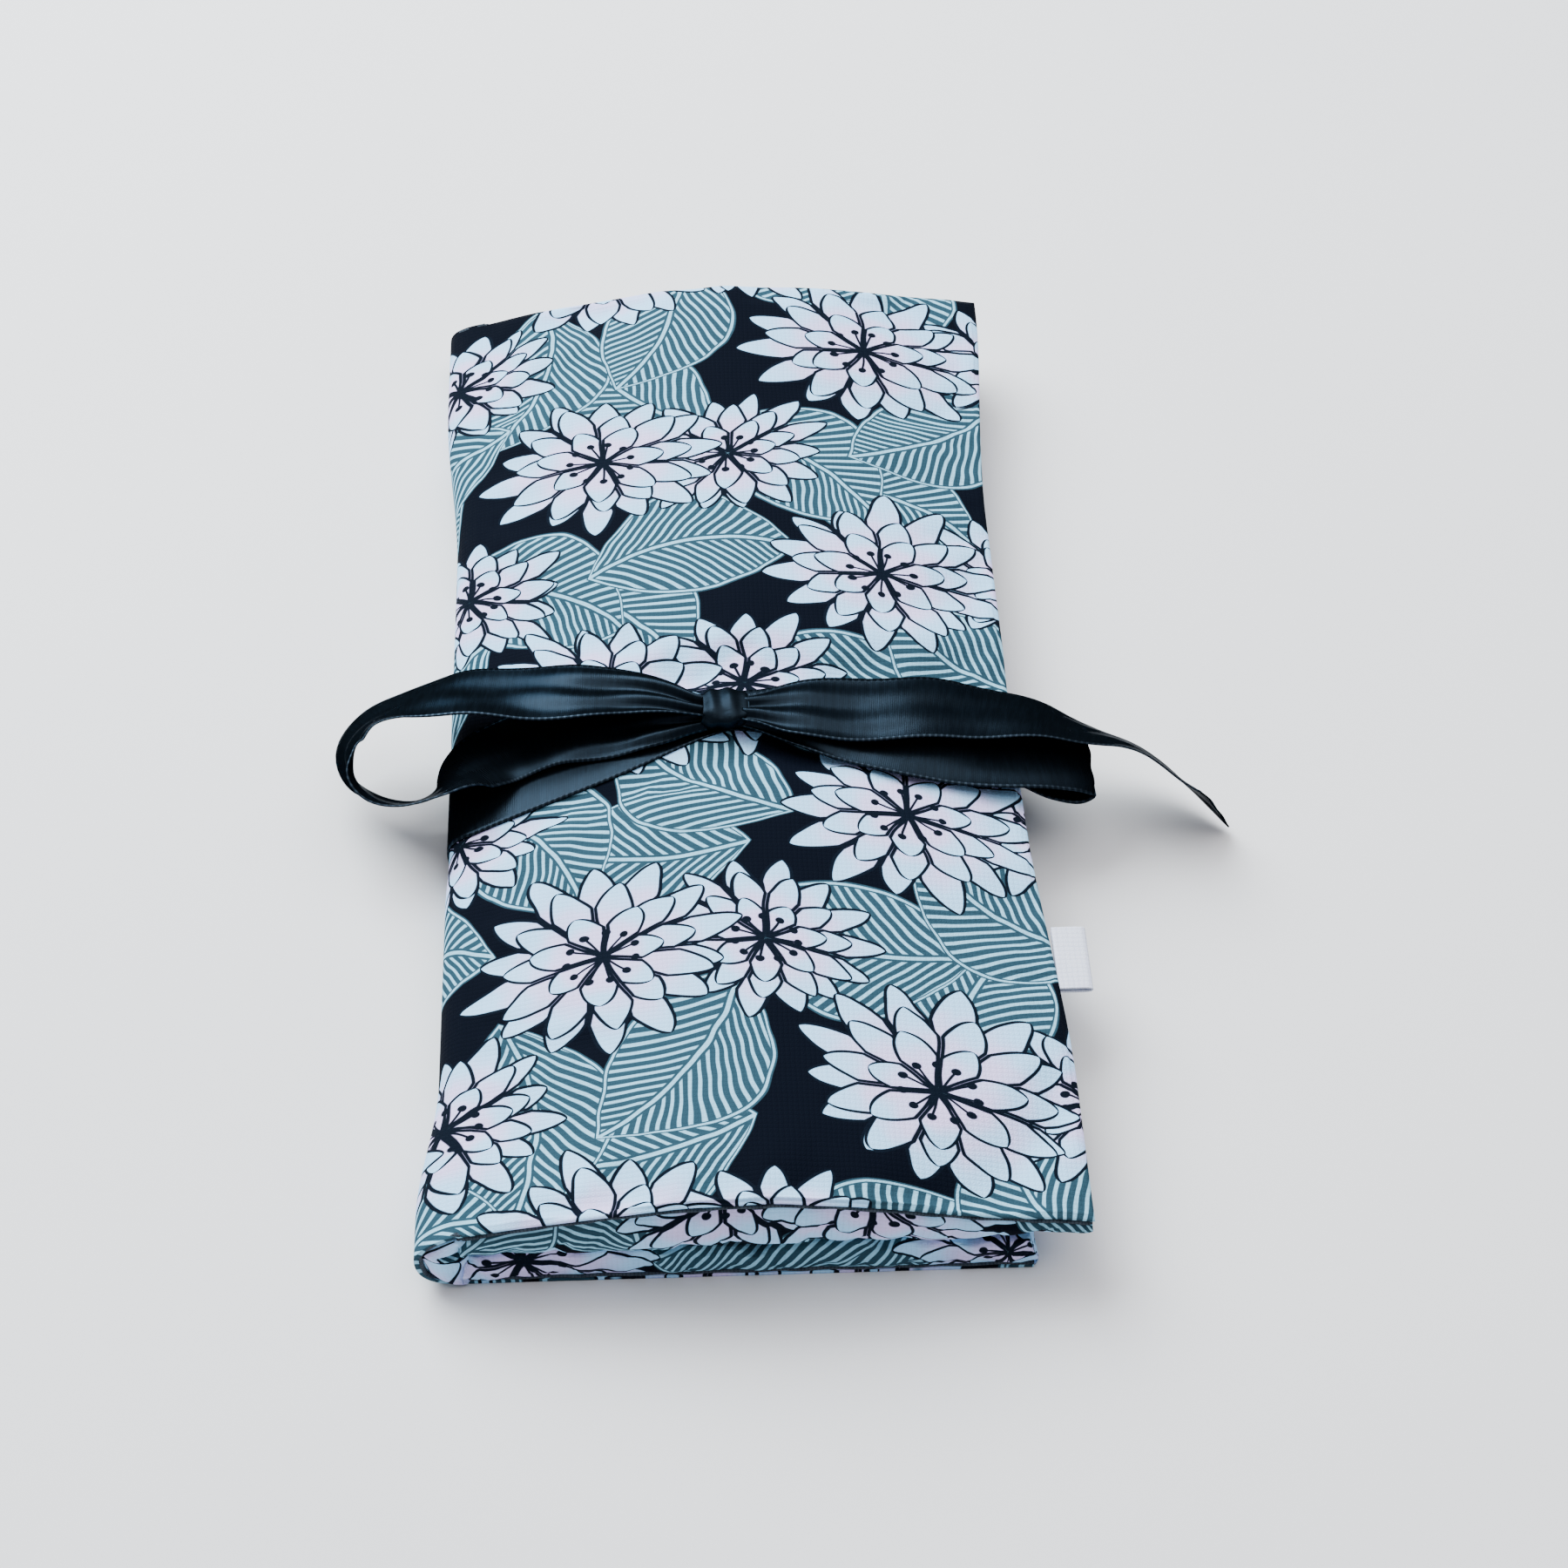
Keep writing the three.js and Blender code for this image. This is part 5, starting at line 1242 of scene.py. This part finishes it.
ring_bar = tube_mesh("stuffed_ring_bar", ring_bar_points(), BAR_CLOTH)
dress(ring_bar, "back", "ring_bar")
PATCH_PROFILE = [(-6.6, 0.75), (-5.6, 0.85), (-4.9, 2.35), (4.9, 2.35), (5.6, 0.85), (6.6, 0.75)]
strip("ring_bar_patch", np.add(PATCH_PROFILE, (0, SEWN)), (ANCHOR_Y - 10, ANCHOR_Y + 2), LINING, "back",
      "ring_bar_anchor", count=30, rounding=0.2)

# %% [markdown]
# ## Stitches
# Rows of straight stitches hold the zips, the bindings and the patch. Drawn as a line in the material
# they would lie flat, so each is a small closed form, fat in the middle and sunk at both ends. A
# stitch has six sides and few faces, because there are hundreds, and a whole row set is one array.

# %% Rows of stitches
STITCH_LENGTH, STITCH_GAP, STITCH_RADIUS, STITCH_SIDES = 2.2, 0.9, 0.17, 6


def stitch_rows(name, body, rows):
    """rows lists (x, z, first y, last y, ripple, ripple's ends). One stitch is rings along Y, repeated down
    each row."""
    along = np.array([-0.5, -0.42, 0.0, 0.42, 0.5])[:, None] * STITCH_LENGTH
    radius = np.array([0.35, 0.75, 1.0, 0.75, 0.35])[:, None] * STITCH_RADIUS
    angle = around(STITCH_SIDES)
    one = xyz(radius * np.cos(angle), along, radius * np.sin(angle)).reshape(-1, 3)
    places = []
    for x, z, first, last, ripple, end in rows:
        y = np.arange(first, last, STITCH_LENGTH + STITCH_GAP)
        places.append(xyz(x, y, z + rippled(y, -end, end, ripple)))
    places = np.concatenate(places)
    dress(make_mesh(name, *repeated(one, STITCH_SIDES, places), STITCH), body)
    print(name, "has", len(places), "stitches")


OVER_FRONT, UNDER_FRONT = OVER + 0.08, UNDER - 0.08
stitch_rows("back_zip_stitches", "back", [(19.2, OVER_FRONT, -91, 91, 0.1, 93.0),
                                          (31.9, OVER_FRONT, -91, 91, 0.06, 93.2)])
stitch_rows("cover_zip_stitches", "cover", [(-13.8, UNDER_FRONT, -91, 91, -0.08, 93.0),
                                            (-26.4, UNDER_FRONT, -90, 90, -0.06, 91.7)])
stitch_rows("back_binding_stitches", "back", [(-10.1, BACK_EDGE_Z + 1.30, -90, 90, 0, 92)])
stitch_rows("cover_binding_stitches", "cover", [(12.0, COVER_EDGE_Z - 0.65, -90, 90, 0, 92)])
stitch_rows("patch_stitches", "back", [(x, SEWN + 0.92, ANCHOR_Y - 8.5, ANCHOR_Y + 1, 0, 92)
                                       for x in (-6.0, 6.0)])

# %% [markdown]
# ## The ribbon round the bundle
# The satin ribbon lies in the groove that it presses into the padding. Its line over the top and its
# line underneath are those of the sizes above; at the fold it goes round with the spine. The part
# underneath stays with the back.

# %% Band over the cover and round the fold
BAND_HALF = RIBBON_WIDTH / 2 - 0.1
BAND_OFF = 0.3
WAIST_X = float(cover_x(EDGE_X, KNOT_Y))


def gathered(x):
    """The band's half width, narrower under the knot."""
    return BAND_HALF - 3 * np.exp(-(((x - KNOT_X) / 14) ** 2))


def band_points():
    """Rows along the ribbon: up the free edge, over the top, and round the fold."""
    v = np.linspace(-1, 1, 15)
    edge = [(BAND_OFF + 0.12, -1.0), (BAND_OFF + 0.1, -0.5), (BAND_OFF * 0.8, -0.12), (0.05, BAND_OFF * 0.75)]
    up = np.add(edge, (WAIST_X, crown(EDGE_X) - PINCH))
    rise = xyz(up[:, :1], band_y(EDGE_X) + v * gathered(EDGE_X), up[:, 1:])
    x, across = grid(np.linspace(EDGE_X - 1, START_X, 88), v)
    crease = 0.22 * np.exp(-np.abs(x - KNOT_X) / 9) * np.sin(across * 9)
    z = crown(x) - PINCH + BAND_OFF + 0.05 * (1 - across**2) + crease
    over = xyz(cover_x(x, KNOT_Y), band_y(x) + across * gathered(x), z)
    t, across = grid(np.linspace(0, 1, 40)[1:], v)
    middle = mix(band_y(START_X), under_y(START_X), t)
    ahead, behind = (spine_at(np.clip(t + step, 0, 1), middle) for step in (0.01, -0.01))
    along = unit(ahead - behind)
    at = spine_at(t, middle) + np.stack([along[..., 1], -along[..., 0]], axis=-1) * BAND_OFF
    fold = xyz(at[..., 0], middle + across * BAND_HALF, at[..., 1])
    return np.concatenate([rise, over, fold])


def ribbon_map(points, start=0.0):
    """The ribbon's flat pattern: the length walked along its middle, and its full width across."""
    u = walked(points[:, points.shape[1] // 2]) + start
    return np.stack(grid(u, np.linspace(0, RIBBON_WIDTH, points.shape[1])), axis=-1) / 100


def ribbon_mesh(name, points, outward, body, replaced, length, start=0.0, even=True):
    """A length of the ribbon, attached to its body in place of its solids, with its length printed."""
    made = sheet_mesh(name, points, SATIN, outward, thickness=RIBBON, offset=0.0, even=even,
                      pattern=ribbon_map(points, start))
    dress(made, body, *replaced)
    print(name, "is", round(float(length), 1), "mm long")
    return made


def below_points():
    """The part underneath: level in its groove, then up past both free edges."""
    edge_x = WAIST_X + 0.5
    line = [(START_X, 0.3), (44.5, 0.3), (46.3, 0.6), (47.0, 1.9), (edge_x - 0.3, 9.6), (edge_x, 10.6),
            (edge_x, 12.2)]
    walk = through(line, 130, 0.3)
    return xyz(walk[:, :1], under_y(walk[:, :1]) + np.linspace(-1, 1, 9) * BAND_HALF, walk[:, 1:])


band, below = band_points(), below_points()
ribbon_band = ribbon_mesh("ribbon_band", band, (-0.1, 0, 1), None, ("ribbon_wrap", "ribbon_fold_turn"),
                          walked(band[:, 7])[-1])
ribbon_below = ribbon_mesh("ribbon_below", below, (0.1, 0, -1), "back", ("ribbon_under",),
                           walked(below[:, 4])[-1])

# %% [markdown]
# ## The bow
# Each loop and the tail is one free strand of ribbon. A strand has a middle line, and at each place a
# direction across it. Close to the knot the ribbon is gathered: its width shrinks and its cross
# section turns into small pleats, so that the length across stays what the flat ribbon has. Away from
# the knot the pleats open into soft bends whose crests slant from the middle to both edges, and satin
# shows each of them as a band of light.

# %% Strands of ribbon
def strand_points(stations, rows, pleats=2.5, cut=0.0, share=0.5, phase=0.0, wave=0.4, chevron=1.2):
    """Rows across a strand. The middle line, the direction across and the width run smoothly through the
    stations, by cubic pieces whose slopes come from each station's neighbours."""
    values = np.array([(*centre, *across, width) for centre, across, width in stations], float)
    strides = np.linalg.norm(np.diff(values[:, :3], axis=0), axis=1)
    knots = np.concatenate([[0.0], np.cumsum(np.sqrt(strides))])
    slopes = np.gradient(values, knots, axis=0)
    fine = np.linspace(0, knots[-1], 600)
    k = np.clip(np.searchsorted(knots, fine, side="right") - 1, 0, len(knots) - 2)
    span = (knots[k + 1] - knots[k])[:, None]
    t = (fine - knots[k])[:, None] / span
    path = ((2 * t**3 - 3 * t**2 + 1) * values[k] + (t**3 - 2 * t**2 + t) * span * slopes[k]
            + (3 * t**2 - 2 * t**3) * values[k + 1] + (t**3 - t**2) * span * slopes[k + 1])
    lengths = walked(path[:, :3])
    columns = np.linspace(-1, 1, 21)
    at = np.linspace(0, 1, rows)[:, None] * (lengths[-1] - cut * (1 + columns[None, :]) / 2)
    row = np.stack([np.interp(at, lengths, path[:, j]) for j in range(7)], axis=-1)
    ahead = [np.interp(at, lengths, np.gradient(path[:, j], lengths)) for j in range(3)]
    tangent = unit(np.stack(ahead, axis=-1))
    side = unit(row[..., 3:6] - (row[..., 3:6] * tangent).sum(-1, keepdims=True) * tangent)
    normal = np.cross(tangent, side)
    wide = np.clip(row[..., 6:7], 1, RIBBON_WIDTH - 0.15)
    depth = np.sqrt(np.maximum(RIBBON_WIDTH**2 - wide**2, 0)) / (4 * pleats) * share
    v, s = columns[None, :, None], at[..., None]
    fold = np.sin(v * pleats * math.pi + phase + 0.35 * np.sin(s * 0.21)) * depth
    curl = 0.12 * (v**2 - 0.4)
    open_ribbon = smooth((wide - 9) / 5) * smooth(s / 12) * smooth((lengths[-1] - s) / 12)
    bends = wave * open_ribbon * np.sin(s * math.tau / 21 + chevron * np.abs(v) + 0.5 * v + phase)
    return row[..., :3] + side * v * wide / 2 + normal * (fold + curl + bends), lengths[-1]


def bow_strand(name, replaced, stations, rows, **shape):
    """A strand that leaves the knot and rides on the cover with it."""
    points, length = strand_points(stations, rows, **shape)
    return ribbon_mesh(name, points, (0, 0, 0), "cover", (replaced,), length,
                       start=17.0, even=False)


NEARER = (0, -1, 0)
LEFT_LOOP = [
    ((-4.2, -6.9, 23.8), NEARER, 5.5), ((-6.9, -6.3, 24.0), NEARER, 6), ((-12.0, -4.6, 24.1), NEARER, 8.5),
    ((-19.0, -3.2, 24.0), (0, -1, 0.03), 11.5), ((-28.5, -2.7, 23.6), (0, -1, 0.1), 14),
    ((-40.4, -1.7, 22.8), (0, -0.97, 0.22), 15), ((-49.2, -1.0, 21.6), (0, -0.94, 0.34), 15),
    ((-57.8, -0.9, 19.6), (0.03, -0.86, 0.50), 15), ((-64.4, -3.3, 17.4), (0.14, -0.80, 0.57), 15),
    ((-67.9, -8.1, 15.2), (0.26, -0.74, 0.61), 15), ((-67.0, -13.6, 13.6), (0.24, -0.70, 0.66), 15),
    ((-63.0, -17.2, 12.9), (0.10, -0.66, 0.74), 15), ((-57.0, -18.3, 13.0), (0, -0.66, 0.75), 15),
    ((-51.0, -17.0, 14.2), (0, -0.76, 0.65), 15), ((-46.2, -13.2, 15.0), (0.1, -0.96, 0.25), 15),
    ((-40.7, -9.4, 15.6), (0.2, -0.98, 0.04), 15), ((-30.2, -6.6, 17.4), (0.2, -0.98, 0.0), 15),
    ((-19.8, -6.9, 19.4), (0.1, -1, 0.0), 13.5), ((-12.0, -7.3, 20.8), NEARER, 10),
    ((-6.9, -7.4, 21.5), NEARER, 6.5), ((-4.2, -7.3, 21.8), NEARER, 5.5)]
RIGHT_LOOP = [
    ((2.2, -7.6, 23.0), NEARER, 5.5), ((5.0, -8.1, 22.8), NEARER, 6.5), ((10.5, -9.1, 22.3), NEARER, 9.5),
    ((19.8, -11.0, 21.6), (-0.1, -1, 0), 13), ((33.1, -14.0, 20.6), (-0.15, -1, 0), 15),
    ((47.0, -15.6, 19.0), (-0.05, -1, 0.06), 15), ((57.4, -15.0, 17.3), (-0.04, -1, 0.10), 15),
    ((62.6, -14.6, 16.1), (-0.04, -1, 0.04), 14.8), ((64.9, -14.4, 14.4), (-0.04, -1, 0), 14.2),
    ((62.6, -14.6, 12.8), (-0.04, -1, 0.04), 14.8), ((57.2, -14.4, 13.5), (-0.04, -1, 0.10), 15),
    ((48.6, -12.4, 16.6), (0, -1, 0.03), 15), ((34.6, -10.6, 18.7), (-0.1, -1, 0), 15),
    ((19.0, -8.9, 20.3), (-0.1, -1, 0), 13), ((10.5, -7.6, 21.0), NEARER, 9.5),
    ((5.0, -6.9, 21.3), NEARER, 6.5), ((2.2, -6.8, 21.4), NEARER, 5.5)]
TAIL = [
    ((2.2, -7.4, 24.3), NEARER, 6), ((5.0, -7.6, 24.4), NEARER, 7.5), ((10.5, -7.9, 24.3), NEARER, 12),
    ((17.5, -8.0, 24.0), NEARER, 14), ((27.7, -7.8, 23.6), NEARER, 14.5),
    ((39.7, -7.4, 22.6), (0, -0.99, 0.12), 15),
    ((50.3, -7.5, 20.9), (0, -0.96, 0.28), 15), ((59.3, -8.2, 18.7), (0, -0.88, 0.47), 15),
    ((68.4, -9.0, 15.8), (0, -0.78, 0.62), 15), ((76.9, -12.2, 12.6), (0.02, -0.75, 0.66), 15),
    ((83.8, -16.5, 9.8), (0.05, -0.75, 0.66), 15), ((89.5, -22.6, 7.6), (0.06, -0.73, 0.68), 15)]
bow_left = bow_strand("bow_loop_left", "ribbon_loop_left", LEFT_LOOP, 190, chevron=1.5)
bow_strand("bow_loop_right", "ribbon_loop_right", RIGHT_LOOP, 170, share=0.35, phase=0.8, wave=0.25)
bow_strand("bow_tail", "ribbon_tail", TAIL, 120, cut=7.0, share=0.4, phase=2.0, chevron=-0.8)

# %% The knot: a short length of ribbon drawn round the strands, with creases along it
KNOT_HALF = 4.1


def knot_points():
    """Rings round a line across the pouch: flat-sided ovals, narrower at both ends, ridged by the creases."""
    u, a = grid(np.linspace(-1, 1, 34), around(48))
    barrel = np.clip(1 - np.abs(u) ** 3.2 * 0.30, 0, 1)
    ridge = 0.20 * np.sin(u * 7.2 + 0.5 * np.sin(a * 2)) * (1 - u**4) + 0.08 * np.sin(a * 5 + u * 3)
    c, s = np.cos(a), np.sin(a)
    y = (KNOT_HALF * barrel + ridge) * np.sign(c) * np.abs(c) ** 0.8
    z = (KNOT_HEIGHT / 2 - 0.1) * barrel * np.sign(s) * np.abs(s) ** 0.8 + ridge * s
    x = KNOT_X + u * KNOT_HALF + 0.3 * s
    return xyz(x, KNOT_Y - KNOT_NEARER + y, PEAK_Z - 0.1 + KNOT_HEIGHT / 2 + z)


bow_knot = dress(tube_mesh("bow_knot", knot_points(), knot_satin()), "cover", "ribbon_knot")
print("knot has", len(bow_knot.data.polygons), "faces")

# %% [markdown]
# ## Cloth across the hinge
# The outer cloth, the fold's lining, the seam and the band over it all cross the hinge. Their places are
# baked into their points. The loose left loop reaches past the fold, and it gets a mesh of its own.

# %% Bake the pieces that cross the hinge, and give the left loop a mesh of its own
for piece in (outer_cloth, fold_padding, edge_seam, ribbon_band):
    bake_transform(piece)
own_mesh(bow_left)

# %% [markdown]
# ## Floor, light and camera
# The picture is taken from above and a little to the left, on a plain pale floor, with soft light
# from high at the back left, so the near end falls into shade.

# %% Floor
def plain_floor(half=3000.0, z=-0.02):
    """A large pale sheet with a very faint mottle."""
    material, w, shader = new_material("pale floor", (0.80, 0.80, 0.80), 0.9)
    mottle = w.noise(w.object_place(), 6.0, 3.0)
    tone = w.blend(mottle, (0.76, 0.76, 0.77, 1.0), (0.82, 0.82, 0.82, 1.0))
    w.fill(shader, Base_Color=tone, Specular_IOR_Level=0.15)
    corners = [(-half, -half, z), (half, -half, z), (half, half, z), (-half, half, z)]
    return make_mesh("floor", corners, [[0, 1, 2, 3]], material)


plain_floor()

# %% Light
def soft_light(name, place, size, power, colour):
    """A square lamp that looks at the pouch, in metres and watts."""
    lamp = bpy.data.lights.new(name, "AREA")
    lamp.size = size
    lamp.energy = power
    lamp.color = colour
    obj = bpy.data.objects.new(name, lamp)
    obj.location = place
    obj.rotation_euler = (-Vector(place)).to_track_quat("-Z", "Y").to_euler()
    bpy.context.scene.collection.objects.link(obj)


soft_light("key light", (-0.50, 0.62, 0.85), 0.95, 43.5, (0.90, 0.96, 1.0))
soft_light("fill light", (0.25, 0.10, 1.2), 1.2, 15.0, (1.0, 0.98, 0.98))
world = bpy.data.worlds.new("soft studio")
world.use_nodes = True
background = world.node_tree.nodes["Background"]
background.inputs["Color"].default_value = (0.86, 0.87, 0.99, 1.0)
background.inputs["Strength"].default_value = 0.40
bpy.context.scene.world = world

# %% Camera
CAMERA_PLACE = Vector((-0.0151, -0.3299, 0.4004))
CAMERA_LOOK = Vector((0.0492, 0.6287, -0.7762))
CAMERA_ROLL = math.radians(2.27)
camera_data = bpy.data.cameras.new("camera")
camera_data.lens, camera_data.sensor_width = 64.2, 36.0
camera = bpy.data.objects.new("camera", camera_data)
turn = CAMERA_LOOK.to_track_quat("-Z", "Y").to_matrix() @ Matrix.Rotation(CAMERA_ROLL, 3, "Z")
camera.matrix_world = Matrix.Translation(CAMERA_PLACE) @ turn.to_4x4()
bpy.context.scene.collection.objects.link(camera)
bpy.context.scene.camera = camera
